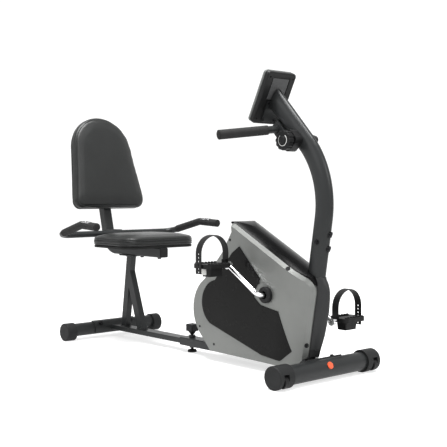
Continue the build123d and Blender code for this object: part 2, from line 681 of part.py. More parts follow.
with BuildPart() as crank_rings:
    for side in (-1, 1):
        add(rod_y(crank_x, crank_z, side * shroud_y, side * ring_out, ring_r))
    chamfer(crank_rings.faces().filter_by(Axis.Y).group_by(Axis.Y)[0].edges(), 3)
    chamfer(crank_rings.faces().filter_by(Axis.Y).group_by(Axis.Y)[-1].edges(), 3)
    add(rod_y(crank_x, crank_z, -90, 90, ring_hole_r), mode=Mode.SUBTRACT)
keep("crank_rings", crank_rings.part)

screw_group = []
for side in (-1, 1):
    for x, z, base in [(-470, 62, 0), (-548, 118, 0), (-414, 372, 0), (-384, 440, 0)]:
        y0 = side * (shroud_y + base)
        screw_group.append(rod_y(front_x + x, z, y0, y0 + side * 1.2, 4.2))
keep("shroud_screws", Compound(screw_group + bevel_screws))

# ---------------------------------------------------------------- drive
with BuildPart() as bearing_cups:
    add(rod_y(crank_x, crank_z, -50, -40, 20))
    add(rod_y(crank_x, crank_z, -53, -50, 23))
    add(rod_y(crank_x, crank_z, -2, 8, 20))
    add(rod_y(crank_x, crank_z, 8, 11, 23))
    add(rod_y(crank_x, crank_z, -60, 20, crank_r + 0.06), mode=Mode.SUBTRACT)
keep("bearing_cups", bearing_cups.part)

arm_turn = math.radians(crank_angle)
arm_dx, arm_dz = crank_arm * math.cos(arm_turn), crank_arm * math.sin(arm_turn)
right_pedal_at = (crank_x - arm_dx, crank_z + arm_dz)
left_pedal_at = (crank_x + arm_dx, crank_z - arm_dz)
crank_bar = bar_tube([(right_pedal_at[0], -arm_y_pedal, right_pedal_at[1]), (crank_x, -arm_y_hub, crank_z),
                      (crank_x, arm_y_hub, crank_z), (left_pedal_at[0], arm_y_pedal, left_pedal_at[1])],
                     crank_r, 0, 24)
crank_part = crank_bar
for (x, z), side in ((right_pedal_at, -1), (left_pedal_at, 1)):
    crank_part = crank_part + rod_y(x, z, side * (arm_y_pedal - 8), side * (arm_y_pedal + 8), 13.5)
for (x, z), side in ((right_pedal_at, -1), (left_pedal_at, 1)):
    crank_part = crank_part - rod_y(x, z, side * (arm_y_pedal - 12), side * (arm_y_pedal + 12), 6)
    crank_part = crank_part - rod_y(x, z, side * (arm_y_pedal + 8), side * (arm_y_pedal + 20), 14)
keep("crank", crank_part)

with BuildPart() as pedal_spindles:
    for (x, z), side in ((right_pedal_at, -1), (left_pedal_at, 1)):
        add(rod_y(x, z, side * (arm_y_pedal - 8), side * (pedal_y + 40), 6))
        add(rod_y(x, z, side * (arm_y_pedal + 8.05), side * (arm_y_pedal + 11), 8))
keep("pedal_spindles", pedal_spindles.part)

pulley_low, pulley_high = pulley_y - pulley_w / 2 - 1, pulley_y + pulley_w / 2 + 1
with BuildPart() as crank_pulley:
    add(rod_y(crank_x, crank_z, pulley_low, pulley_high, crank_pulley_r))
    add(rod_y(crank_x, crank_z, pulley_low - 1, pulley_y - 2, crank_pulley_r - 8), mode=Mode.SUBTRACT)
    add(rod_y(crank_x, crank_z, pulley_y + 2, pulley_high + 1, crank_pulley_r - 8), mode=Mode.SUBTRACT)
    add(rod_y(crank_x, crank_z, 13, pulley_high, 22))
    for step in range(6):
        turn = math.radians(60 * step)
        add(rod_y(crank_x + 56 * math.cos(turn), crank_z + 56 * math.sin(turn), 0, 60, 17),
            mode=Mode.SUBTRACT)
    add(rod_y(crank_x, crank_z, 0, 60, crank_r), mode=Mode.SUBTRACT)
keep("crank_pulley", crank_pulley.part)


def belt_loop(extra):
    """Private outline of the belt: the hull of both pulleys, grown by extra."""
    with BuildSketch(Plane.XY) as loop:
        with Locations((crank_x, crank_z)):
            Circle(crank_pulley_r + extra)
        with Locations((fly_x, fly_z)):
            Circle(wheel_pulley_r + extra)
        make_hull()
    return loop.sketch


with BuildPart() as drive_belt:
    with BuildSketch(xz_plane(pulley_y + pulley_w / 2 - 0.5)):
        add(belt_loop(3.4))
        add(belt_loop(0.4), mode=Mode.SUBTRACT)
    extrude(amount=pulley_w - 1)
keep("drive_belt", drive_belt.part)

with BuildPart() as flywheel:
    add(rod_y(fly_x, fly_z, -fly_w / 2 - 2, fly_w / 2 - 2, fly_r))
    add(rod_y(fly_x, fly_z, -fly_w / 2 - 3, -8, fly_r - 14), mode=Mode.SUBTRACT)
    add(rod_y(fly_x, fly_z, 4, fly_w / 2 - 1, fly_r - 14), mode=Mode.SUBTRACT)
    add(rod_y(fly_x, fly_z, -22, 16, 20))
    add(rod_y(fly_x, fly_z, -30, 30, 6.06), mode=Mode.SUBTRACT)
keep("flywheel", flywheel.part)

with BuildPart() as flywheel_pulley:
    add(rod_y(fly_x, fly_z, 16, pulley_high + 1, wheel_pulley_r))
    add(rod_y(fly_x, fly_z, 16, pulley_low, wheel_pulley_r + 2.6))
    add(rod_y(fly_x, fly_z, pulley_high, pulley_high + 1.5, wheel_pulley_r + 2.6))
    add(rod_y(fly_x, fly_z, 0, 60, 6.06), mode=Mode.SUBTRACT)
keep("flywheel_pulley", flywheel_pulley.part)

with BuildPart() as flywheel_axle:
    add(rod_y(fly_x, fly_z, -38, 56, 6))
keep("flywheel_axle", flywheel_axle.part)

nut_parts = []
for y, out in ((-28, -1), (46, 1)):
    plane = Plane(origin=(fly_x, y, fly_z), x_dir=(1, 0, 0), z_dir=(0, out, 0))
    nut_parts.append(hex_rod(plane, 19, 8) - rod_y(fly_x, fly_z, -60, 60, 6.02))
keep("axle_nuts", Compound(nut_parts))


def polar(x, z, r, angle):
    """Point at this distance and angle (above +X) from a centre, in the XZ plane."""
    return (x + r * math.cos(math.radians(angle)), z + r * math.sin(math.radians(angle)))


with BuildPart() as magnet_arm:
    with BuildSketch(xz_plane(13)):
        with BuildLine():
            ThreePointArc(polar(fly_x, fly_z, 111, 116), polar(fly_x, fly_z, 111, 142),
                          polar(fly_x, fly_z, 111, 168))
            Line(polar(fly_x, fly_z, 111, 168), polar(fly_x, fly_z, 117, 168))
            ThreePointArc(polar(fly_x, fly_z, 117, 168), polar(fly_x, fly_z, 117, 145),
                          polar(fly_x, fly_z, 117, 122))
            Polyline(polar(fly_x, fly_z, 117, 122), (pivot_x - 8, pivot_z - 3), (pivot_x - 3, pivot_z + 8),
                     (pivot_x + 9, pivot_z + 2), polar(fly_x, fly_z, 118, 111),
                     polar(fly_x, fly_z, 111, 116))
        make_face()
    extrude(amount=30)
    add(rod_y(pivot_x, pivot_z, -31, 49, 4))
    for angle in (124, 136, 148, 160):
        x, z = polar(fly_x, fly_z, 109.8, angle)
        magnet = Plane(origin=(x, -2, z), x_dir=(0, 1, 0),
                       z_dir=(math.cos(math.radians(angle)), 0, math.sin(math.radians(angle))))
        add(magnet * Box(22, 15, 3, mode=Mode.PRIVATE))
keep("magnet_arm", magnet_arm.part)

# ---------------------------------------------------------------- pedals
for name, (px, pz), side in (("right", right_pedal_at, -1), ("left", left_pedal_at, 1)):
    mid = side * pedal_y
    with BuildPart() as pedal:
        with BuildSketch(Plane(origin=(px, mid, pz - 4))):
            RectangleRounded(82, 112, 20)
        extrude(amount=14)
        with BuildSketch(Plane(origin=(px, mid, pz - 5))):
            with Locations((-24, 0), (24, 0)):
                RectangleRounded(18, 72, 4)
        extrude(amount=30, mode=Mode.SUBTRACT)
        with BuildSketch(Plane(origin=(px, mid, pz - 3))):
            RectangleRounded(44, 62, 7)
        extrude(amount=-30, taper=6)
        with BuildSketch(Plane(origin=(px, mid, pz + 10))):
            with GridLocations(66, 14, 2, 7):
                Rectangle(9, 7)
        extrude(amount=4, taper=20)
        inner, outer = mid - side * 58.7, mid + side * 58.7
        add(box(px - 9, px + 9, mid - side * 50, inner, pz + 2, pz + 22))
        add(box(px - 9, px + 9, mid + side * 52, outer, pz - 1, pz + 8))
        add(rod_y(px, pz, mid - 61, mid + 61, 6.06), mode=Mode.SUBTRACT)
    keep(f"{name}_pedal", pedal.part)

    band_r, band_t, band_w = 60, 2.4, 27
    with BuildPart() as strap:
        with BuildSketch(Plane(origin=(px - band_w / 2, mid, pz), x_dir=(0, 1, 0), z_dir=(1, 0, 0))):
            with BuildLine():
                out_r, in_r = band_r + band_t / 2, band_r - band_t / 2
                outer = side
                tail, root, spring = -22, 11, 45
                Polyline((outer * in_r, tail), (outer * out_r, tail), (outer * out_r, spring))
                ThreePointArc((outer * out_r, spring), (0, spring + out_r), (-outer * out_r, spring))
                Polyline((-outer * out_r, spring), (-outer * out_r, root), (-outer * in_r, root),
                         (-outer * in_r, spring))
                ThreePointArc((-outer * in_r, spring), (0, spring + in_r), (outer * in_r, spring))
                Line((outer * in_r, spring), (outer * in_r, tail))
            make_face()
        extrude(amount=band_w)
        for height in range(-16, 46, 12):
            add(rod_y(px, pz + height, mid + side * 50, mid + side * 70, 3), mode=Mode.SUBTRACT)
    keep(f"{name}_pedal_strap", strap.part)

# ---------------------------------------------------------------- levelling foot and clamp knob
with BuildPart() as levelling_foot:
    add(rod_z(foot_x, 0, 0, 9, 17))
    chamfer(levelling_foot.edges().group_by(Axis.Z)[-1], 3)
    add(rod_z(foot_x, 0, 8, 28.6, 5))
keep("levelling_foot", levelling_foot.part)

with BuildPart() as clamp_knob:
    with BuildSketch(Plane.XY.offset(80)):
        with Locations((foot_x, 0)):
            RectangleRounded(36, 36, 5)
    extrude(amount=26)
    fillet(clamp_knob.faces().sort_by(Axis.Z)[-1].edges(), 3)
    add(Pos(foot_x, 0, 68) * Cone(8, 16, 12.5, align=(Align.CENTER, Align.CENTER, Align.MIN),
                                  mode=Mode.PRIVATE))
    add(rod_z(foot_x, 0, 50.4, 81, 5))
keep("clamp_knob", clamp_knob.part)

# ---------------------------------------------------------------- seat carriage
leg_half = 12.5
slide_rear_x = rear_x + rear_tube_r + 2
with BuildPart() as seat_frame:
    add(box(slide_rear_x, slide_front_x, -slide_w / 2, slide_w / 2, slide_low, slide_high))
    fillet(seat_frame.edges().filter_by(Axis.X), 3)
    add(box(slide_rear_x + 6, slide_front_x + 1, -slide_w / 2 + 3, slide_w / 2 - 3, slide_low + 3,
            slide_high - 3), mode=Mode.SUBTRACT)
    with BuildSketch(xz_plane(leg_half)):
        with BuildLine():
            Polyline((front_x - 1116, slide_high - 1), (front_x - 1086, slide_high - 1),
                     (front_x - 1044, seat_tube_z - 22), (front_x - 1074, seat_tube_z - 22), close=True)
        make_face()
        with BuildLine():
            Polyline((front_x - 1004, slide_high - 1), (front_x - 968, slide_high - 1),
                     (front_x - 1055, 290), (front_x - 1075, 250), close=True)
        make_face()
    extrude(amount=2 * leg_half)
    add(box(front_x - 1104, front_x - 1014, -24, 24, seat_tube_z - 23, seat_tube_z - seat_tube / 2))
    add(rear_saddle)
    add(rod_y(rear_x, rear_tube_z, -300, 300, rear_tube_r + 0.1), mode=Mode.SUBTRACT)
    for hole in rear_holes:
        add(hole, mode=Mode.SUBTRACT)
keep("seat_frame", seat_frame.part)

back_lean = (-back_tan, 0, 1)
post_x = back_corner_x - back_tan * (back_tube_top - seat_tube_z)
with BuildPart() as seat_post:
    with BuildLine() as seat_line:
        FilletPolyline((seat_tube_front, 0, seat_tube_z), (back_corner_x, 0, seat_tube_z),
                       (post_x, 0, back_tube_top), radius=75)
    with BuildSketch(Plane(origin=(seat_tube_front, 0, seat_tube_z), x_dir=(0, 1, 0), z_dir=(-1, 0, 0))):
        RectangleRounded(seat_tube, seat_tube, 4)
        RectangleRounded(seat_tube - 4, seat_tube - 4, 2, mode=Mode.SUBTRACT)
    sweep()
    add(box(handle_corner[0] - 54, handle_corner[0], -22, 22, handle_corner[2] - 15, handle_corner[2] + 15))
    with BuildSketch(Plane(origin=(back_corner_x, 0, seat_tube_z), x_dir=(0, 1, 0), z_dir=back_lean)):
        RectangleRounded(seat_tube - 4.2, seat_tube - 4.2, 2)
    extrude(amount=200, mode=Mode.SUBTRACT)
    add(rod_y(handle_corner[0], handle_corner[2], -60, 60, bar_r + 0.05), mode=Mode.SUBTRACT)
keep("seat_post", seat_post.part)

seat_mid_x = (seat_x0 + seat_x1) / 2
for name, inset, z0, z1 in (("seat_board", 8, seat_low, seat_low + board_t),
                            ("seat_cushion", 0, seat_low + board_t, seat_high)):
    with BuildPart() as pad:
        with BuildSketch(Plane(origin=(seat_mid_x, 0, z0))):
            RectangleRounded(seat_x1 - seat_x0 - 2 * inset, 2 * (seat_half - inset), 62 - inset)
        extrude(amount=z1 - z0)
        if not inset:
            fillet(pad.faces().sort_by(Axis.Z)[-1].edges(), 14)
            fillet(pad.faces().sort_by(Axis.Z)[0].edges(), 6)
    keep(name, pad.part)

back_turn = math.atan(back_tan)
back_plane = Plane(origin=(front_x - 1185, 0, back_low), x_dir=(0, 1, 0),
                   z_dir=(math.cos(back_turn), 0, math.sin(back_turn)))
back_length = (back_high - back_low) / math.cos(back_turn)
back_round = 148


def back_outline(inset):
    """Backrest outline: wide round-cornered bottom, tapering sides, circular top."""
    with BuildSketch(Plane.XY) as outline:
        with BuildLine():
            shoulder = 272
            half = math.sqrt(back_round ** 2 - (back_length - back_round - shoulder) ** 2)
            Polyline((-half, shoulder), (-back_half_low, 0), (back_half_low, 0), (half, shoulder))
            ThreePointArc((half, shoulder), (0, back_length), (-half, shoulder))
        make_face()
        fillet(outline.vertices().group_by(Axis.Y)[0], 38)
        if inset:
            offset(amount=-inset)
    return outline.sketch


for name, inset, top, thick in (("back_cushion", 0, 0, back_t), ("back_board", 8, -back_t, back_board_t)):
    outline = back_outline(inset)
    with BuildPart() as pad:
        with BuildSketch(back_plane.offset(top)):
            add(outline)
        extrude(amount=-thick)
        if not inset:
            fillet(pad.faces().sort_by(Axis(back_plane.origin, back_plane.z_dir))[-1].edges(), 12)
            fillet(pad.faces().sort_by(Axis(back_plane.origin, back_plane.z_dir))[0].edges(), 5)
    keep(name, pad.part)

handle_half = [handle_end, handle_bend, handle_corner]
handle_points = [(x, -y, z) for x, y, z in handle_half] + [(x, y, z) for x, y, z in reversed(handle_half)]
keep("seat_handle", bar_tube(handle_points, bar_r, 1.8, 45))

grip_parts = []
for side in (-1, 1):
    corner, bend, tip = [Vector(x, side * y, z) for x, y, z in (handle_corner, handle_bend, handle_end)]
    start = corner + (bend - corner).normalized() * 46
    end = tip + (tip - bend).normalized() * 4
    sleeve = bar_tube([tuple(start), tuple(bend), tuple(end)], foam_r - 1, 0, 45)
    core_start = start - (bend - corner).normalized() * 4
    core_end = tip + (tip - bend).normalized() * 0.3
    core = bar_tube([tuple(core_start), tuple(bend), tuple(core_end)], bar_r + 0.05, 0, 45)
    grip_parts.append(sleeve - core)
keep("seat_grips", Compound(grip_parts))

bolt_group = []
for x in (-1134, -986, -872):
    plane = Plane(origin=(front_x + x, 0, seat_tube_z - seat_tube / 2), x_dir=(1, 0, 0), z_dir=(0, 0, -1))
    bolt_group.append(plane * cylinder(9, 1.5) + hex_rod(plane.offset(1.5), 12, 5))
for along in (270, 350):
    origin = Vector(back_corner_x, 0, seat_tube_z) + Vector(*back_lean).normalized() * along
    rear = Plane(origin=origin, x_dir=(0, 1, 0), z_dir=(-math.cos(back_turn), 0, -math.sin(back_turn)))
    bolt_group.append(rear.offset(seat_tube / 2) * cylinder(9, 1.5)
                      + hex_rod(rear.offset(seat_tube / 2 + 1.5), 12, 5))
keep("seat_bolts", Compound(bolt_group))
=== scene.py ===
import math

import bmesh
import bpy
import numpy as np
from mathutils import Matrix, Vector


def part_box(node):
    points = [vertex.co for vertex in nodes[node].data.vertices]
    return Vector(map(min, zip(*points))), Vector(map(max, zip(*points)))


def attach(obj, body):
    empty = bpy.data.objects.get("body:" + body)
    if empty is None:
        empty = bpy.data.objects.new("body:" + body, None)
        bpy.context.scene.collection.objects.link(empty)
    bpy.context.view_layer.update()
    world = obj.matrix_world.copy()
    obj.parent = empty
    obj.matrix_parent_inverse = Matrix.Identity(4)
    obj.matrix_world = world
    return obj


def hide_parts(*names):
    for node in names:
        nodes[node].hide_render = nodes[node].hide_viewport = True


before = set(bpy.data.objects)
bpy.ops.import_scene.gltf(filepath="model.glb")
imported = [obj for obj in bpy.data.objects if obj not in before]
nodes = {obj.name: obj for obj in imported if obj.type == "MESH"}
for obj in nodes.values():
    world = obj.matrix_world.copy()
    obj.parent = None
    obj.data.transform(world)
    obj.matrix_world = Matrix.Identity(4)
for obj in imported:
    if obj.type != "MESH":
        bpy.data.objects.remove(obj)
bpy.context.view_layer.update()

# ---------------------------------------------------------------- frame paint
# All of the bike's steel tubes and plates are charcoal powder coat: a satin skin with a fine grain, a
# faint orange-peel ripple, and edges rubbed a little lighter.


def new_material(name):
    """Empty node material: returns it, its shader, a function that adds a node with these inputs, and
    one that wires a socket into the shader."""
    material = bpy.data.materials.new(name)
    material.use_nodes = True
    tree = material.node_tree
    shader = tree.nodes["Principled BSDF"]

    def add(kind, inputs=None, **settings):
        node = tree.nodes.new(kind)
        for key, value in settings.items():
            setattr(node, key, value)
        for key, value in (inputs or {}).items():
            if isinstance(value, bpy.types.NodeSocket):
                tree.links.new(value, node.inputs[key])
            else:
                node.inputs[key].default_value = value
        return node

    def wire(socket, name_in):
        tree.links.new(socket, shader.inputs[name_in])

    return material, shader, add, wire


def mottled(add, colour, amount, scale, coordinates):
    """Colour that drifts by amount to each side of its mean over a soft noise of this scale."""
    drift = add("ShaderNodeTexNoise", {"Vector": coordinates, "Scale": scale, "Detail": 3.0})
    ramp = add("ShaderNodeValToRGB", {"Fac": drift.outputs["Fac"]})
    low, high = ramp.color_ramp.elements
    low.position, high.position = 0.32, 0.68
    low.color = [c * (1 - amount) for c in colour] + [1]
    high.color = [c * (1 + amount) for c in colour] + [1]
    return ramp.outputs["Color"]


def edge_mask(add, radius):
    """Mask from the rounded normal's turn away from the true one: 0 up to 10 degrees (cosine 0.985),
    1 from 37 degrees (cosine 0.80). Returned with the rounded normal."""
    rounded = add("ShaderNodeBevel", {"Radius": radius}, samples=4)
    true = add("ShaderNodeNewGeometry")
    dot = add("ShaderNodeVectorMath", {0: rounded.outputs["Normal"], 1: true.outputs["Normal"]},
              operation="DOT_PRODUCT")
    mask = add("ShaderNodeMapRange", {"Value": dot.outputs["Value"], "From Min": 0.985, "From Max": 0.80,
                                      "To Min": 0.0, "To Max": 1.0})
    return mask.outputs["Result"], rounded.outputs["Normal"]


def coated(name, colour, rough, drift=0.08, grain_scale=900, grain_depth=0.00004, edge_colour=None,
           edge_share=0.35, metallic=0.0, specular=0.27, peel=0.0, coat=0.0, bevel=0.0009):
    """Painted or moulded surface.

    Colour = slow drift of the base colour, mixed towards edge_colour along worn edges. Roughness drifts
    by a tenth. Bump = fine grain of grain_scale per metre, plus a long peel ripple when peel is set.
    """
    material, shader, add, wire = new_material(name)
    place = add("ShaderNodeTexCoord").outputs["Object"]
    base = mottled(add, colour, drift, 9, place)
    mask, rounded = edge_mask(add, bevel)
    scuffs = add("ShaderNodeTexNoise", {"Vector": place, "Scale": 55.0, "Detail": 5.0})
    worn = add("ShaderNodeMath", {0: mask, 1: scuffs.outputs["Fac"]}, operation="MULTIPLY")
    share = add("ShaderNodeMath", {0: worn.outputs["Value"], 1: edge_share}, operation="MULTIPLY")
    light = edge_colour or [min(1, c * 2.2) for c in colour]
    mixed = add("ShaderNodeMix", {"Factor": share.outputs["Value"], "A": base, "B": list(light) + [1]},
                data_type="RGBA")
    wire(mixed.outputs["Result"], "Base Color")
    haze = add("ShaderNodeTexNoise", {"Vector": place, "Scale": 30.0, "Detail": 4.0})
    gloss = add("ShaderNodeMapRange", {"Value": haze.outputs["Fac"], "From Min": 0.3, "From Max": 0.7,
                                       "To Min": rough * 0.9, "To Max": rough * 1.1})
    wire(gloss.outputs["Result"], "Roughness")
    grain = add("ShaderNodeTexNoise", {"Vector": place, "Scale": grain_scale, "Detail": 2.0})
    bump = add("ShaderNodeBump", {"Height": grain.outputs["Fac"], "Distance": grain_depth, "Strength": 0.5,
                                  "Normal": rounded})
    if peel:
        ripple = add("ShaderNodeTexNoise", {"Vector": place, "Scale": 130.0, "Detail": 1.0})
        bump = add("ShaderNodeBump", {"Height": ripple.outputs["Fac"], "Distance": peel, "Strength": 0.4,
                                      "Normal": bump.outputs["Normal"]})
    wire(bump.outputs["Normal"], "Normal")
    shader.inputs["Metallic"].default_value = metallic
    shader.inputs["Specular IOR Level"].default_value = specular
    shader.inputs["Coat Weight"].default_value = coat
    shader.inputs["Coat Roughness"].default_value = 0.12
    return material


def dress(names, material):
    """Give this material to every material slot of these CAD nodes."""
    for name in names:
        mesh = nodes[name].data
        mesh.materials.clear()
        mesh.materials.append(material)


frame_paint = coated("charcoal_powder_coat", (0.022, 0.0235, 0.024), 0.38, grain_scale=1500,
                     grain_depth=0.00003, peel=0.00012, specular=0.32, coat=0.1,
                     edge_colour=(0.07, 0.072, 0.072))
dress(["front_stabiliser", "rear_stabiliser", "main_frame", "mast_tube", "handlebar_clamp", "seat_frame",
       "seat_post", "seat_handle", "handlebar", "console_bracket"], frame_paint)

# ---------------------------------------------------------------- end caps, wheels, feet
# The stabilisers end in moulded polypropylene caps with a fine spark-eroded texture; the front pair
# hold nylon transport wheels, and a hard rubber foot screws into the middle of the rail. A round
# orange-red reflector is set in the front tube.
cap_plastic = coated("textured_cap_plastic", (0.018, 0.0185, 0.019), 0.56, grain_scale=620,
                     grain_depth=0.00009, edge_colour=(0.05, 0.05, 0.05))
dress(["front_end_caps", "rear_end_caps", "foot_guard"], cap_plastic)
wheel_nylon = coated("wheel_nylon", (0.011, 0.011, 0.0115), 0.42, grain_scale=400, grain_depth=0.00003)
dress(["right_transport_wheel", "left_transport_wheel"], wheel_nylon)
foot_rubber = coated("foot_rubber", (0.012, 0.012, 0.012), 0.72, grain_scale=520, grain_depth=0.00008)
dress(["levelling_foot"], foot_rubber)
lens_red = coated("reflector_amber_red", (0.62, 0.085, 0.018), 0.16, grain_scale=260,
                  grain_depth=0.00025, coat=0.8, specular=0.6)
dress(["front_reflector"], lens_red)

# ---------------------------------------------------------------- bolts, axle and bearings
# Zinc-plated nuts, the flywheel's axle, the pedals' spindles and the pressed bearing cups are steel
# with faint turning lines. The frame's bolts are black zinc, and the small screws black oxide.


def bare_metal(name, colour, rough, scratch_scale=240, scratch_depth=0.00003, drift=0.1):
    """Bare or plated metal: metallic 1, roughness broken by stretched noise scratches."""
    material, shader, add, wire = new_material(name)
    place = add("ShaderNodeTexCoord").outputs["Object"]
    wire(mottled(add, colour, drift, 40, place), "Base Color")
    stretched = add("ShaderNodeMapping", {"Vector": place, "Scale": (1.0, 0.12, 1.0)})
    lines = add("ShaderNodeTexNoise", {"Vector": stretched.outputs["Vector"], "Scale": scratch_scale,
                                       "Detail": 4.0})
    gloss = add("ShaderNodeMapRange", {"Value": lines.outputs["Fac"], "From Min": 0.3, "From Max": 0.7,
                                       "To Min": rough * 0.75, "To Max": rough * 1.35})
    wire(gloss.outputs["Result"], "Roughness")
    rounded = add("ShaderNodeBevel", {"Radius": 0.0006}, samples=4)
    bump = add("ShaderNodeBump", {"Height": lines.outputs["Fac"], "Distance": scratch_depth,
                                  "Strength": 0.4, "Normal": rounded.outputs["Normal"]})
    wire(bump.outputs["Normal"], "Normal")
    shader.inputs["Metallic"].default_value = 1.0
    return material


zinc = bare_metal("zinc_plate", (0.52, 0.52, 0.53), 0.32)
dress(["axle_nuts", "flywheel_axle", "bearing_cups", "pedal_spindles"], zinc)
dark_zinc = bare_metal("black_passivated_zinc", (0.032, 0.032, 0.034), 0.36)
dress(["front_saddle_bolts", "rear_saddle_bolts", "mast_bolts", "seat_bolts"], dark_zinc)
black_oxide = coated("black_oxide", (0.02, 0.02, 0.021), 0.38, grain_scale=700, metallic=0.6)
dress(["shroud_screws", "console_screws"], black_oxide)

# ---------------------------------------------------------------- drive inside the shroud
# A cast-iron flywheel with a turned rim, nylon pulleys, a ribbed rubber belt, and the plated arm that
# carries the brake magnets.
dress(["flywheel"], bare_metal("turned_cast_iron", (0.16, 0.16, 0.16), 0.5, 320, 0.00008))
dress(["magnet_arm"], bare_metal("plated_brake_arm", (0.38, 0.38, 0.37), 0.4))
dress(["crank_pulley", "flywheel_pulley"], coated("pulley_nylon", (0.03, 0.03, 0.03), 0.45))
dress(["drive_belt"], coated("belt_rubber", (0.014, 0.014, 0.014), 0.62, grain_scale=500,
                             grain_depth=0.0001))

# ---------------------------------------------------------------- shroud
# Two halves moulded in silver-grey ABS, screwed together round a black spine; a glossy black panel
# is let into each side, and a charcoal nose closes the front below the mast.
shroud_silver = coated("silver_grey_abs", (0.186, 0.191, 0.184), 0.36, drift=0.04, grain_scale=1300,
                       grain_depth=0.00002, specular=0.35, coat=0.12, edge_colour=(0.26, 0.265, 0.255),
                       edge_share=0.5, metallic=0.35)
dress(["right_shroud", "left_shroud"], shroud_silver)
panel_gloss = coated("gloss_black_panel", (0.0085, 0.0085, 0.0082), 0.26, drift=0.06, grain_scale=1100,
                     grain_depth=0.000006, coat=0.06, specular=0.13, edge_colour=(0.04, 0.04, 0.039))
dress(["right_side_panel", "left_side_panel"], panel_gloss)
spine_black = coated("hood_gloss_black", (0.0045, 0.0045, 0.0048), 0.24, grain_scale=900, grain_depth=0.00001,
                     specular=0.13)
dress(["spine_cover"], spine_black)
dress(["crank_rings"], coated("ring_black", (0.014, 0.014, 0.0145), 0.5, grain_scale=640,
                              grain_depth=0.00007))
nose_charcoal = coated("nose_charcoal", (0.030, 0.031, 0.0315), 0.40, grain_scale=900,
                       grain_depth=0.00004, specular=0.3)
dress(["front_cover"], nose_charcoal)

# ---------------------------------------------------------------- crank
# One bent bar of chrome-plated steel makes both crank arms.
dress(["crank"], bare_metal("bright_chrome", (0.72, 0.72, 0.73), 0.10, 90, 0.00001, 0.03))

# ---------------------------------------------------------------- pedals and straps
# Black nylon pedals with a weighted underside, a white reflector let into each weight, and a
# perforated rubber strap over the foot.
pedal_nylon = coated("pedal_nylon", (0.0095, 0.0095, 0.0098), 0.5, grain_scale=560, grain_depth=0.00008,
                     edge_colour=(0.05, 0.05, 0.05))
dress(["right_pedal", "left_pedal"], pedal_nylon)
strap_rubber = coated("strap_rubber", (0.014, 0.014, 0.0142), 0.55, grain_scale=420,
                      grain_depth=0.00006)
dress(["right_pedal_strap", "left_pedal_strap"], strap_rubber)

# ---------------------------------------------------------------- handlebar and tension knob
# Foam sleeves on the bar, and a moulded dial with its housing clamped to the mast.
foam = coated("closed_cell_foam", (0.030, 0.030, 0.030), 0.85, drift=0.07, grain_scale=780,
              grain_depth=0.00035, specular=0.25, edge_colour=(0.05, 0.05, 0.05))
dress(["handlebar_grips", "seat_grips"], foam)
knob_plastic = coated("knob_plastic", (0.0105, 0.0105, 0.011), 0.44, grain_scale=600,
                      grain_depth=0.00006)
dress(["knob_housing", "tension_knob", "clamp_knob"], knob_plastic)

# ---------------------------------------------------------------- console
# A wedge-shaped case: black ribbed back, silver-grey front, a clear window over a display, three keys.
dress(["console_back", "battery_door"], coated("console_black", (0.014, 0.0143, 0.0145), 0.48,
                                               grain_scale=620, grain_depth=0.00008))
dress(["console_bezel"], coated("console_silver", (0.16, 0.165, 0.162), 0.42, grain_scale=900))
dress(["console_lens"], coated("console_window", (0.010, 0.011, 0.010), 0.08, coat=1.0,
                               grain_depth=0.000003))
dress(["mode_button", "set_button", "reset_button"], coated("key_plastic", (0.05, 0.05, 0.05), 0.5))

# ---------------------------------------------------------------- seat boards
# Moulded plastic boards close the underside of the seat and the back of the backrest.
dress(["seat_board", "back_board"], coated("backing_board", (0.011, 0.011, 0.011), 0.56, grain_scale=420,
                                           grain_depth=0.00012))

# ---------------------------------------------------------------- cushions
# Moulded foam in a sewn cover of black grained artificial leather: a crowned top panel, a boxed
# border between two piped seams, and a lower border that wraps over the board.


def leather(name, colour):
    """Grained leather: cell-shaped pores, long creases that fade in and out, and a soft drift of tone.
    Painted shade darkens the colour in the pores' grooves.
    """
    material, shader, add, wire = new_material(name)
    place = add("ShaderNodeTexCoord").outputs["Object"]
    base = mottled(add, colour, 0.10, 14, place)
    pores = add("ShaderNodeTexVoronoi", {"Vector": place, "Scale": 620.0, "Randomness": 1.0},
                feature="DISTANCE_TO_EDGE")
    grooves = add("ShaderNodeMapRange", {"Value": pores.outputs["Distance"], "From Min": 0.0,
                                         "From Max": 0.16})
    # painted shade: the base colour is darkened to 0.72 of itself in the grain's grooves
    groove_shaded = add("ShaderNodeMix", {"Factor": grooves.outputs["Result"], "A": [c * 0.72 for c in colour] + [1],
                                  "B": base}, data_type="RGBA")
    wire(groove_shaded.outputs["Result"], "Base Color")
    gloss = add("ShaderNodeMapRange", {"Value": grooves.outputs["Result"], "To Min": 0.46, "To Max": 0.29})
    wire(gloss.outputs["Result"], "Roughness")
    creases = add("ShaderNodeTexNoise", {"Vector": place, "Scale": 26.0, "Detail": 5.0, "Distortion": 0.8})
    soft = add("ShaderNodeBump", {"Height": creases.outputs["Fac"], "Distance": 0.0011, "Strength": 0.5})
    grain = add("ShaderNodeBump", {"Height": grooves.outputs["Result"], "Distance": 0.00012,
                                   "Strength": 0.55, "Normal": soft.outputs["Normal"]})
    wire(grain.outputs["Normal"], "Normal")
    shader.inputs["Specular IOR Level"].default_value = 0.34
    shader.inputs["Coat Weight"].default_value = 0.08
    shader.inputs["Coat Roughness"].default_value = 0.35
    shader.inputs["Sheen Weight"].default_value = 0.06
    return material


def even_ring(points, count):
    """Closed outline resampled to points that are equally spaced along it."""
    points = np.asarray(points, float)
    loop = np.vstack([points, points[:1]])
    run = np.r_[0, np.cumsum(np.linalg.norm(np.diff(loop, axis=0), axis=1))]
    at = np.linspace(0, run[-1], count, endpoint=False)
    return np.stack([np.interp(at, run, loop[:, k]) for k in range(loop.shape[1])], 1)


def corner_arc(centre, radius, start, end, steps=14):
    """Arc of an outline: centre + radius (cos t, sin t), t in degrees from start to end."""
    t = np.radians(np.linspace(start, end, steps))
    return np.stack([centre[0] + radius * np.cos(t), centre[1] + radius * np.sin(t)], 1)


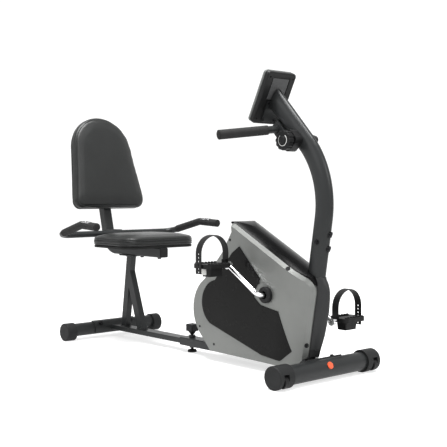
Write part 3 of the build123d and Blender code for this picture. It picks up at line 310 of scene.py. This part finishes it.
def grid_mesh(name, grid, material, close_u=True, close_v=False, caps=True):
    """Mesh of a point grid [v, u]: quads between neighbours, closed round u, with end caps if asked."""
    rows, columns = grid.shape[:2]
    index = np.arange(rows * columns).reshape(rows, columns)
    low = index if close_v else index[:-1]
    high = np.roll(index, -1, 0) if close_v else index[1:]
    if close_u:
        quads = np.stack([low, np.roll(low, -1, 1), np.roll(high, -1, 1), high], -1)
    else:
        quads = np.stack([low[:, :-1], low[:, 1:], high[:, 1:], high[:, :-1]], -1)
    faces = quads.reshape(-1, 4).tolist()
    if caps and close_u and not close_v:
        faces += [index[0][::-1].tolist(), index[-1].tolist()]
    mesh = bpy.data.meshes.new(name)
    mesh.from_pydata(grid.reshape(-1, 3).tolist(), [], faces)
    mesh.polygons.foreach_set("use_smooth", np.ones(len(mesh.polygons), bool))
    if material:
        mesh.materials.append(material)
    obj = bpy.data.objects.new(name, mesh)
    bpy.context.collection.objects.link(obj)
    return obj


def outward(obj):
    """Merge doubles and turn all faces outwards."""
    work = bmesh.new()
    work.from_mesh(obj.data)
    bmesh.ops.remove_doubles(work, verts=work.verts, dist=1e-6)
    bmesh.ops.recalc_face_normals(work, faces=work.faces)
    work.to_mesh(obj.data)
    work.free()


def along(path, profile, side, closed=False):
    """Profile (a, b) carried along a path: P + a n + b k, with k = the side vector, n = tangent x k."""
    path, profile = np.asarray(path, float), np.asarray(profile, float)
    tangent = np.roll(path, -1, 0) - np.roll(path, 1, 0) if closed else np.gradient(path, axis=0)
    tangent /= np.linalg.norm(tangent, axis=1)[:, None]
    k = np.broadcast_to(np.asarray(side, float), path.shape)
    k = k - (k * tangent).sum(1)[:, None] * tangent
    k /= np.linalg.norm(k, axis=1)[:, None]
    n = np.cross(tangent, k)
    return path[:, None] + profile[None, :, :1] * n[:, None] + profile[None, :, 1:] * k[:, None]


def circle(radius, count=12):
    """Round profile: radius (cos t, sin t)."""
    t = np.linspace(0, 2 * math.pi, count, endpoint=False)
    return radius * np.stack([np.cos(t), np.sin(t)], 1)


def relaxed(move, mesh, rounds):
    """Movement evened out over the mesh: each round takes half its own and half its neighbours' mean."""
    ends = np.empty(len(mesh.edges) * 2, int)
    mesh.edges.foreach_get("vertices", ends)
    a, b = ends.reshape(-1, 2).T
    here, there = np.r_[a, b], np.r_[b, a]
    degree = np.bincount(here, minlength=len(move))
    for _ in range(rounds):
        mean = np.stack([np.bincount(here, move[there, k], len(move)) / degree for k in range(3)], 1)
        move = (move + mean) / 2
    return move


def inflate(obj, pinned, cap):
    """Cloth pressure swells the pad for 20 frames; movement is capped and evened out, so that the
    cover stays taut without puckers, and pinned points stay put."""
    before = np.empty(len(obj.data.vertices) * 3)
    obj.data.vertices.foreach_get("co", before)
    before = before.reshape(-1, 3)
    group = obj.vertex_groups.new(name="pin")
    group.add(np.nonzero(pinned(before))[0].tolist(), 1.0, "REPLACE")
    cloth = obj.modifiers.new("Cloth", "CLOTH")
    cloth.settings.quality = 4
    cloth.settings.mass = 0.3
    cloth.settings.tension_stiffness = cloth.settings.compression_stiffness = 14
    cloth.settings.shear_stiffness = 8
    cloth.settings.bending_stiffness = 2.5
    cloth.settings.vertex_group_mass = "pin"
    cloth.settings.use_pressure = True
    cloth.settings.uniform_pressure_force = 4
    cloth.settings.effector_weights.gravity = 0
    cloth.collision_settings.use_collision = False
    for step in range(1, 21):
        bpy.context.scene.frame_set(step)
    graph = bpy.context.evaluated_depsgraph_get()
    after = np.empty(before.size)
    obj.evaluated_get(graph).data.vertices.foreach_get("co", after)
    move = after.reshape(-1, 3) - before
    length = np.linalg.norm(move, axis=1)[:, None]
    move = relaxed(move * np.minimum(1, cap / np.maximum(length, 1e-9)), obj.data, 90)
    after = before + move * ~pinned(before)[:, None]
    obj.modifiers.remove(cloth)
    obj.vertex_groups.remove(group)
    obj.data.vertices.foreach_set("co", after.ravel())
    obj.data.update()
    bpy.context.scene.frame_set(1)


def apply_modifier(obj, modifier):
    """Put the modifier's result into the object's mesh and take the modifier off."""
    graph = bpy.context.evaluated_depsgraph_get()
    mesh = bpy.data.meshes.new_from_object(obj.evaluated_get(graph))
    obj.modifiers.remove(modifier)
    obj.data = mesh


def sew(spot, middle, seams):
    """Pull a pad in along its seams, in the pad's own axes, and return each seam's closed outline.

    The outline's radius is the mesh's own radius near the seam's level, for every degree, as a mean over
    seven degrees. Points move inwards by seam_depth exp(-(distance / seam_width)^2)."""
    spread = spot[:, :2] - middle
    reach = np.linalg.norm(spread, axis=1)
    angle = np.arctan2(spread[:, 1], spread[:, 0])
    degrees = np.linspace(-math.pi, math.pi, 361)[:-1]
    outlines = []
    for level in seams:
        near = np.abs(spot[:, 2] - level) < seam_band
        order = np.argsort(angle[near])
        radius = np.interp(degrees, angle[near][order], reach[near][order], period=2 * math.pi)
        radius = np.convolve(np.r_[radius[-3:], radius, radius[:3]], np.ones(7) / 7, "valid")
        on_side = reach > 0.9 * np.interp(angle, degrees, radius, period=2 * math.pi)
        pull = seam_depth * np.exp(-((spot[:, 2] - level) / seam_width) ** 2) * on_side
        spot[:, :2] -= spread / np.maximum(reach, 1e-6)[:, None] * pull[:, None]
        edge = middle + (radius - piping_sunk)[:, None] * np.stack([np.cos(degrees), np.sin(degrees)], 1)
        outlines.append(np.column_stack([edge, np.full(360, level)]))
    return outlines


def pad(name, node, body, outline, origin, axes, low, high, crown, seams):
    """Upholstered pad: stacked scaled outlines from the flat underside to a crowned top, swollen as
    cloth, creased at the seams, with a round piping welt on each seam. Lengths in metres; axes are the
    pad's own across, along and thickness directions."""
    ring = even_ring(outline, 150)
    middle = (ring.max(0) + ring.min(0)) / 2
    layers = [(0.02, low), (0.4, low), (0.75, low), (0.93, low), (0.975, low + 0.0015), (0.985, low + held),
              (0.985, (low + high) / 2), (0.985, high - 0.013), (0.972, high - 0.007), (0.945, high - 0.003),
              (0.90, high - 0.001), (0.75, high + crown * 0.45), (0.5, high + crown * 0.8),
              (0.25, high + crown * 0.97), (0.02, high + crown)]
    scale = np.array([s for s, _ in layers])[:, None, None]
    flat = middle + (ring[None] - middle) * scale
    height = np.broadcast_to(np.array([h for _, h in layers])[:, None, None], flat.shape[:2] + (1,))
    pad_axes = np.asarray(axes, float)
    obj = grid_mesh(name, np.asarray(origin) + np.concatenate([flat, height], -1) @ pad_axes, None)
    outward(obj)

    def local(points):
        return (points - np.asarray(origin)) @ pad_axes.T

    remesh = obj.modifiers.new("Remesh", "REMESH")
    remesh.mode, remesh.voxel_size = "VOXEL", 0.005
    bpy.context.view_layer.objects.active = obj
    apply_modifier(obj, remesh)
    inflate(obj, lambda points: local(points)[:, 2] < low + held, swell_cap)
    split = obj.modifiers.new("Smooth", "SUBSURF")
    split.levels = split.render_levels = 1
    apply_modifier(obj, split)
    cover = obj.data
    points = np.empty(len(cover.vertices) * 3)
    cover.vertices.foreach_get("co", points)
    spot = local(points.reshape(-1, 3))
    outlines = sew(spot, middle, seams)
    cover.vertices.foreach_set("co", (np.asarray(origin) + spot @ pad_axes).ravel())
    cover.polygons.foreach_set("use_smooth", np.ones(len(cover.polygons), bool))
    cover.materials.append(cover_leather)
    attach(obj, body)
    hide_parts(node)
    for number, edge in enumerate(outlines):
        path = np.asarray(origin) + edge @ pad_axes
        tube = along(path, circle(piping_radius, 10), pad_axes[2], True)
        welt = grid_mesh(f"{name}_piping_{number + 1}", tube, cover_piping, close_v=True)
        outward(welt)
        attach(welt, body)


cover_leather = leather("grained_leather", (0.0165, 0.0175, 0.0172))
cover_piping = leather("piping_leather", (0.015, 0.016, 0.016))
seam_band, seam_width, seam_depth = 0.0035, 0.0046, 0.0034
piping_radius, piping_sunk = 0.0021, 0.0022
held, swell_cap = 0.006, 0.005

low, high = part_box("seat_cushion")
half_x, half_y, seat_corner = (high.x - low.x) / 2, (high.y - low.y) / 2, 0.062
seat_outline = np.vstack([
    corner_arc((sx * (half_x - seat_corner), sy * (half_y - seat_corner)), seat_corner, t, t + 90)
    for sx, sy, t in ((1, 1, 0), (-1, 1, 90), (-1, -1, 180), (1, -1, 270))])
seat_origin = ((low.x + high.x) / 2, 0, 0)
seat_underside, seat_crown, seat_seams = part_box("seat_board")[0].z + 0.0085, 0.006, (0.4175, 0.4015)
pad("seat_pad", "seat_cushion", "seat_carriage", seat_outline, seat_origin, np.eye(3), seat_underside,
    high.z - 0.002, seat_crown, seat_seams)

lean, thick = math.radians(14), 0.040
low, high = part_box("back_cushion")
back_origin = (high.x, 0, low.z + thick * math.sin(lean))
back_axes = np.array([(0, 1, 0), (-math.sin(lean), 0, math.cos(lean)), (math.cos(lean), 0, math.sin(lean))])
half_low, shoulder_z, top_r, tall = 0.181, 0.272, 0.148, 0.406
foot_r, foot_inset = 0.038, 0.003
arc_z = tall - top_r
arc_start = math.degrees(math.asin((shoulder_z - arc_z) / top_r))
foot_y = half_low - foot_r - foot_inset
back_outline = np.vstack([corner_arc((foot_y, foot_r), foot_r, 270, 360),
                          corner_arc((0, arc_z), top_r, arc_start, 180 - arc_start, 60),
                          corner_arc((-foot_y, foot_r), foot_r, 180, 270)])
back_crown, back_seams = 0.005, (-0.008, -0.033)
pad("backrest_pad", "back_cushion", "seat_carriage", back_outline, back_origin, back_axes, 0.0005 - thick,
    -0.002, back_crown, back_seams)

# ---------------------------------------------------------------- grip plugs and pulse plates
# Soft domed rubber plugs close the ends of all four foam grips, and two pressed stainless pulse plates
# are clipped over the top of each seat grip.
plate_steel = bare_metal("pulse_plate_steel", (0.34, 0.34, 0.345), 0.26, 300, 0.00001)
plug_rubber = coated("plug_rubber", (0.018, 0.018, 0.018), 0.7, grain_scale=600, grain_depth=0.0001)
front_low, front_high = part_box("front_stabiliser")
front = np.array([(front_low.x + front_high.x) / 2, 0, 0])
grip_bend, grip_end = front + (-0.974, 0.296, 0.481), front + (-0.868, 0.300, 0.476)
bar_bend, bar_tip = front + (-0.200, 0.030, 0.817), front + (-0.258, 0.226, 0.794)
plug_proud = 0.0040
plate_runs = ((0.14, 0.36), (0.40, 0.60))
plate_arc, plate_wall, plate_radius, plate_rise, plate_lip = 52, 0.0008, 0.0152, 0.0010, 0.003


def spun(name, origin, axis, profile, material, body, steps=40):
    """Solid turned about an axis: (r, h) of the profile goes to origin + r (cos t u + sin t v) + h axis."""
    profile = np.asarray(profile, float)
    axis = np.asarray(axis, float) / np.linalg.norm(axis)
    u = np.cross(axis, (0.13, 0.31, 0.94))
    u /= np.linalg.norm(u)
    v = np.cross(axis, u)
    t = np.linspace(0, 2 * math.pi, steps, endpoint=False)
    around = np.cos(t)[:, None] * u + np.sin(t)[:, None] * v
    grid = np.asarray(origin) + profile[:, :1, None] * around + profile[:, 1:, None] * axis
    obj = grid_mesh(name, grid, material)
    outward(obj)
    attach(obj, body)
    return obj


def domed_plug(name, tip, direction, radius, rise, body):
    """Low dome on a grip's end: radius cos t, height rise sin t, with a small rim."""
    t = np.radians([0, 0, 18, 36, 54, 72, 88])
    lift = rise * np.sin(t)
    lift[0] -= 0.002
    spun(name, tip, direction, np.stack([radius * np.cos(t), lift], 1), plug_rubber, body)


def pulse_plate(name, start, run, first, last):
    """Plate bent over a straight grip: start + s run + r (sin t across + cos t up) for s from first to
    last, t within plate_arc of the top; r falls by plate_rise towards both ends, as a square root."""
    length = np.linalg.norm(run)
    unit = run / length
    share = np.linspace(first, last, 24)
    turn = np.radians(np.linspace(-plate_arc, plate_arc, 19))
    to_end = np.clip(np.minimum(share - first, last - share) * length / plate_lip, 0, 1)
    radius = plate_radius + plate_rise * to_end ** 0.5
    up = np.array([0, 0, 1.0]) - unit[2] * unit
    up /= np.linalg.norm(up)
    around = np.sin(turn)[:, None] * np.cross(unit, up) + np.cos(turn)[:, None] * up
    grid = (start + share[:, None] * run)[:, None] + radius[:, None, None] * around
    plate = grid_mesh(name, grid, plate_steel, close_u=False)
    wall = plate.modifiers.new("Wall", "SOLIDIFY")
    wall.thickness, wall.offset = plate_wall, 0
    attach(plate, "seat_carriage")


hands = (("right", -1), ("left", 1))
for hand, side in hands:
    flip = np.array([1, side, 1])
    run = (grip_end - grip_bend) * flip
    unit = run / np.linalg.norm(run)
    domed_plug(f"{hand}_seat_grip_plug", grip_end * flip + unit * plug_proud, unit, 0.0142, 0.0028,
               "seat_carriage")
    for number, (first, last) in enumerate(plate_runs):
        pulse_plate(f"{hand}_pulse_plate_{number + 1}", grip_bend * flip, run, first, last)
    run = (bar_tip - bar_bend) * flip
    unit = run / np.linalg.norm(run)
    domed_plug(f"{hand}_bar_plug", bar_tip * flip + unit * plug_proud, unit, 0.0156, 0.0034, "frame")

# ---------------------------------------------------------------- square tube plugs
# Moulded plugs with a soft edge are pressed into the open ends of the seat tube and of the leaning post
# behind the backrest.


def slab(name, outline, origin, axes, thick, soft, material, body):
    """Plate on the plane of the first two axes: rings drawn in by soft (1 - cos t), raised by soft sin t."""
    ring = even_ring(outline, 96)
    middle = (ring.max(0) + ring.min(0)) / 2
    reach = (ring.max(0) - ring.min(0)).min() / 2
    t = np.radians([0, 30, 60, 90])
    rows = [(0.0, 0.0)] + [(soft * (1 - math.cos(a)), thick - soft + soft * math.sin(a)) for a in t]
    inset, height = np.array(rows + [(reach * 0.5, thick), (reach * 0.97, thick)]).T
    flat = middle + (ring[None] - middle) * (1 - inset / reach)[:, None, None]
    lift = np.broadcast_to(height[:, None, None], flat.shape[:2] + (1,))
    grid = np.asarray(origin) + np.concatenate([flat, lift], -1) @ np.asarray(axes, float)
    obj = grid_mesh(name, grid, material)
    outward(obj)
    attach(obj, body)
    return obj


def rounded(half_a, half_b, radius):
    """Outline of a rounded rectangle: four quarter arcs about its inset corners."""
    return np.vstack([corner_arc((a * (half_a - radius), b * (half_b - radius)), radius, t, t + 90, 8)
                      for a, b, t in ((1, 1, 0), (-1, 1, 90), (-1, -1, 180), (1, -1, 270))])


tube_plug = coated("tube_plug_plastic", (0.011, 0.011, 0.0115), 0.5, grain_scale=600, grain_depth=0.00007)
plug_outline = rounded(0.0185, 0.0185, 0.004)
plug_thick, plug_soft = 0.0045, 0.0022
tube_axis_z, post_end_z = 0.3675, 0.760
tube_end_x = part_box("seat_post")[1].x
slab("seat_tube_plug", plug_outline, (tube_end_x, 0, tube_axis_z), ((0, 1, 0), (0, 0, 1), (1, 0, 0)),
     plug_thick, plug_soft, tube_plug, "seat_carriage")
post_up = np.array([-math.sin(lean), 0, math.cos(lean)])
post_foot = front + (-1.2087, 0, tube_axis_z)
post_top = post_foot + post_up * (post_end_z - tube_axis_z) / math.cos(lean)
slab("seat_post_plug", plug_outline, post_top, ((0, 1, 0), np.cross(post_up, (0, 1, 0)), post_up),
     plug_thick, plug_soft, tube_plug, "seat_carriage")

# ---------------------------------------------------------------- rail bush
# A moulded bush lines the mouth of the outer rail, where the inner rail of the seat slides in.
mouth_x, rail_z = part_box("main_frame")[0].x, 0.040
bush_ring = even_ring(rounded(0.0277, 0.0127, 0.004), 120)
bush_path = np.column_stack([np.full(120, mouth_x - 0.0012), bush_ring[:, 0], bush_ring[:, 1] + rail_z])
bush_section = [(-0.0022, -0.0012), (0.0020, -0.0012), (0.0020, 0.0010), (-0.0022, 0.0010)]
bush = grid_mesh("rail_bush", along(bush_path, bush_section, (1, 0, 0), True), tube_plug, close_v=True)
outward(bush)
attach(bush, "frame")

# ---------------------------------------------------------------- weld beads
# The seat's rear leg and brace are welded to the inner rail, and the leg's top to the seat tube. Each
# joint is ringed by a rippled bead under the paint.
bead_radius, bead_pitch, bead_ripple, bead_half_y = 0.0026, 0.005, 0.12, 0.0133


def weld_bead(name, middle_x, half_x, height):
    """Round bead carried round a tube's foot; its radius swells by bead_ripple |sin| every bead_pitch."""
    ring = even_ring(rounded(half_x, bead_half_y, 0.002) + np.array([middle_x, 0]), 180)
    path = np.column_stack([ring, np.full(180, height)])
    grid = along(path, circle(bead_radius, 10), (0, 0, 1), True)
    run = np.linalg.norm(np.roll(path, -1, 0) - path, axis=1).cumsum()
    ripple = 1 + bead_ripple * np.abs(np.sin(run * math.pi / bead_pitch))
    centre = path[:, None]
    bead = grid_mesh(name, centre + (grid - centre) * ripple[:, None, None], frame_paint, close_v=True)
    outward(bead)
    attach(bead, "seat_carriage")


rail_top, under_tube = 0.0502, 0.3435
weld_bead("rear_leg_weld", front[0] - 1.101, 0.0158, rail_top)
weld_bead("brace_weld", front[0] - 0.986, 0.0188, rail_top)
weld_bead("leg_top_weld", front[0] - 1.061, 0.0165, under_tube)

# ---------------------------------------------------------------- pedal reflectors
# A clear prismatic reflector is let into the outer side of each pedal's weight.
reflector_white = coated("reflector_clear", (0.55, 0.55, 0.53), 0.18, grain_scale=240, grain_depth=0.0003,
                         coat=0.6, specular=0.6)
for hand, side in hands:
    low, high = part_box(f"{hand}_pedal")
    seat_of_lens = ((low.x + high.x) / 2 - 0.007, (low.y + high.y) / 2 + side * 0.0283, low.z + 0.016)
    slab(f"{hand}_pedal_reflector", rounded(0.0115, 0.0105, 0.002), seat_of_lens,
         ((1, 0, 0), (0, 0, 1), (0, side, 0)), 0.0038, 0.001, reflector_white, f"{hand}_pedal_set")

# ---------------------------------------------------------------- screw wells
# Each long screw of the shroud sits at the bottom of a round black well moulded into the bevelled edge.
well_profile = [(0.0079, -0.001), (0.0079, 0.0005), (0.0073, 0.0009), (0.0052, 0.0006), (0.0044, -0.0008),
                (0.0002, -0.001)]
wells = (("top", front + (-0.109, 0.0605, 0.357), (0.32, 0.71, 0.63)),
         ("front", front + (-0.050, 0.033, 0.108), (0.85, 0.5, -0.14)))
for where, place, direction in wells:
    for hand, side in hands:
        flip = np.array([1, side, 1])
        spun(f"{hand}_screw_well_{where}", place * flip, direction * flip, well_profile, tube_plug, "frame")

# ---------------------------------------------------------------- painted reflection on the side panels
# Three thin dark patches on the narrow upper end of each side panel are a painted reflection of the crank and
# pedal.
panel_face_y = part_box("left_side_panel")[1].y
for number, (x, z, half_tall) in enumerate(((-0.2890, 0.353, 0.0125), (-0.2635, 0.329, 0.0095),
                                            (-0.2415, 0.306, 0.0105))):
    for hand, side in hands:
        slab(f"{hand}_panel_slot_{number + 1}", rounded(0.0052, half_tall, 0.0025),
             front + (x, side * panel_face_y, z), ((1, 0, 0), (0, 0, 1), (0, side, 0)), 0.0005, 0.0003,
             foot_rubber, "frame")

# ---------------------------------------------------------------- mast washers
# Plain black washers lie under the heads of the four bolts that hold the upper mast on its stub.
mast_slope, joint_x, joint_z = 0.1556, front[0] - 0.026, 0.407
washer_profile = [(0.0095, -0.0012), (0.0095, 0.0011), (0.0089, 0.0016), (0.0002, 0.0016)]
ahead, to_right, to_left = np.array([1, 0, -mast_slope]), np.array([0, -1, 0]), np.array([0, 1, 0])
washers = ((0.428, ahead, 0.0351), (0.474, ahead, 0.0351), (0.447, to_right, 0.0199), (0.447, to_left, 0.0199))
for number, (z, out, reach) in enumerate(washers):
    base = np.array([joint_x + mast_slope * (z - joint_z), 0, z]) + out * reach
    spun(f"mast_washer_{number + 1}", base, out, washer_profile, dark_zinc, "frame")

# ---------------------------------------------------------------- dial scale and cap
# The tension dial's face carries a printed white ring that widens round the turn, and a centre cap that
# is snapped in.
scale_white = coated("printed_scale", (0.62, 0.62, 0.61), 0.5, grain_scale=900)
scale_radius, scale_half, scale_points = 0.0195, 0.0004, 60
low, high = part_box("tension_knob")
dial = np.array([(low.x + high.x) / 2, low.y, (low.z + high.z) / 2])
turn = np.radians(np.linspace(-235, 55, scale_points))
inner = scale_radius - np.linspace(0.0006, 0.0030, scale_points)
outer = np.full(scale_points, scale_radius)
level = np.full(scale_points, scale_half)
scale_grid = np.stack([dial + np.stack([r * np.cos(turn), h, r * np.sin(turn)], 1)
                       for r, h in ((inner, level), (inner, -level), (outer, -level), (outer, level))], 1)
scale = grid_mesh("dial_scale", scale_grid, scale_white)
outward(scale)
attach(scale, "tension_dial")
cap_profile = [(0.0125, -0.001), (0.0125, 0.0012), (0.0115, 0.002), (0.006, 0.0026), (0.0002, 0.0028)]
spun("dial_cap", dial, (0, -1, 0), cap_profile, knob_plastic, "tension_dial")

# ---------------------------------------------------------------- ribbed field on the console's back
# The recess above the bracket holds a grey field of fine level ribs, moulded with the case.
rib_plastic = coated("ribbed_field_plastic", (0.075, 0.076, 0.077), 0.5, grain_scale=620, grain_depth=0.00006)
case_mid = front + (-0.231, 0, 0.923)
case_out, case_up = np.array([0.8944, 0, -0.4472]), np.array([0.4472, 0, 0.8944])
field_low, field_high, field_half, field_floor = -0.004, 0.072, 0.0375, -0.00125
rib_root, rib_rise, rib_pitch = -0.0009, 0.0007, 0.0047
climb = np.linspace(field_low, field_high, 229)
ribs = rib_root + rib_rise * np.sqrt(np.abs(np.sin(math.pi * (climb - field_low) / rib_pitch)))
section = np.vstack([np.column_stack([climb, ribs]), [(field_high, field_floor), (field_low, field_floor)]])
row = case_mid + section[:, :1] * case_up + section[:, 1:] * case_out
across = np.array([-field_half, 0, field_half])[:, None, None] * np.array([0, 1, 0])
rib_field = grid_mesh("console_ribbed_field", row + across, rib_plastic)
outward(rib_field)
rib_field.data.polygons.foreach_set("use_smooth", np.zeros(len(rib_field.data.polygons), bool))
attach(rib_field, "frame")

# ---------------------------------------------------------------- display
# A grey-green liquid crystal field lies under the console's window.
display_grey = coated("display_field", (0.16, 0.18, 0.155), 0.2, coat=0.7, grain_scale=1400,
                      grain_depth=0.000005)
lens_low, lens_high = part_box("console_lens")
lens_mid = (np.array(lens_low) + np.array(lens_high)) / 2
slab("display_field", rounded(0.041, 0.032, 0.003), lens_mid - case_out * 0.0011,
     ((0, 1, 0), case_up, -case_out), 0.0004, 0.0001, display_grey, "frame")

# ---------------------------------------------------------------- studio floor
# A pale floor just under the bike's feet runs up into a round backdrop that glows softly.


def turned(name, profile, steps, material):
    """Surface of revolution about Z: point (r, z) of the profile goes to (r cos t, r sin t, z)."""
    r, z = np.asarray(profile, float).T
    t = np.linspace(0, 2 * math.pi, steps, endpoint=False)
    grid = np.stack([np.outer(r, np.cos(t)), np.outer(r, np.sin(t)), np.repeat(z[:, None], steps, 1)], -1)
    index = np.arange(len(r) * steps).reshape(len(r), steps)
    a, b = index[:-1], index[1:]
    quads = np.stack([a, np.roll(a, -1, 1), np.roll(b, -1, 1), b], -1).reshape(-1, 4)
    mesh = bpy.data.meshes.new(name)
    mesh.from_pydata(grid.reshape(-1, 3).tolist(), [], quads.tolist())
    mesh.polygons.foreach_set("use_smooth", np.ones(len(quads), bool))
    mesh.materials.append(material)
    obj = bpy.data.objects.new(name, mesh)
    bpy.context.collection.objects.link(obj)
    return obj


floor_paint, floor_shader, _, _ = new_material("studio_floor")
floor_shader.inputs["Base Color"].default_value = (0.42, 0.42, 0.42, 1)
floor_shader.inputs["Emission Color"].default_value = (1, 1, 1, 1)
floor_shader.inputs["Emission Strength"].default_value = 0.66
floor_shader.inputs["Roughness"].default_value = 0.9
floor_shader.inputs["Specular IOR Level"].default_value = 0.1
sweep_r, bend_r, wall_top, floor_z = 9.0, 2.5, 9.0, -0.0005
turn = np.linspace(0, math.pi / 2, 13)
profile = [(0.001, floor_z), (sweep_r - bend_r, floor_z)]
profile += [(sweep_r - bend_r + bend_r * math.sin(t), bend_r - bend_r * math.cos(t)) for t in turn[1:]]
profile += [(sweep_r, wall_top)]
floor = turned("studio_floor", profile, 96, floor_paint)

# ---------------------------------------------------------------- light
# Even white surroundings, one broad soft lamp overhead, and two weak ones, ahead and to the right.
world = bpy.data.worlds.new("studio_world")
world.use_nodes = True
world.node_tree.nodes["Background"].inputs["Color"].default_value = (1, 1, 1, 1)
world.node_tree.nodes["Background"].inputs["Strength"].default_value = 0.4
bpy.context.scene.world = world


def lamp(name, place, aim, size, power):
    """Square soft lamp at place, facing aim."""
    data = bpy.data.lights.new(name, "AREA")
    data.size, data.energy = size, power
    obj = bpy.data.objects.new(name, data)
    bpy.context.collection.objects.link(obj)
    obj.location = place
    direction = np.subtract(aim, place)
    obj.rotation_mode = "QUATERNION"
    obj.rotation_quaternion = Vector(direction).to_track_quat("-Z", "Y")


lamp("overhead", (0.3, -0.3, 4.2), (0, 0, 0.4), 2.4, 330)
lamp("front_left", (3.6, -0.6, 2.6), (0.2, 0, 0.5), 1.8, 45)
lamp("front_right", (-0.6, -3.8, 2.4), (0, 0, 0.5), 2.0, 22)

# ---------------------------------------------------------------- camera
# A long lens, a little higher than the seat, sees the bike from its front right corner. The view's gamma
# sets the middle tones slightly darker.
tip_down, heading = 2.129, 48.095
camera = bpy.data.cameras.new("camera")
camera.sensor_width = 36
camera.lens = 71.17
eye = bpy.data.objects.new("camera", camera)
eye.location = (2.53931, -2.14379, 0.61186)
eye.rotation_euler = (math.radians(90 - tip_down), 0, math.radians(heading))
bpy.context.collection.objects.link(eye)
bpy.context.scene.camera = eye
bpy.context.scene.view_settings.view_transform = "Standard"
bpy.context.scene.view_settings.gamma = 0.86
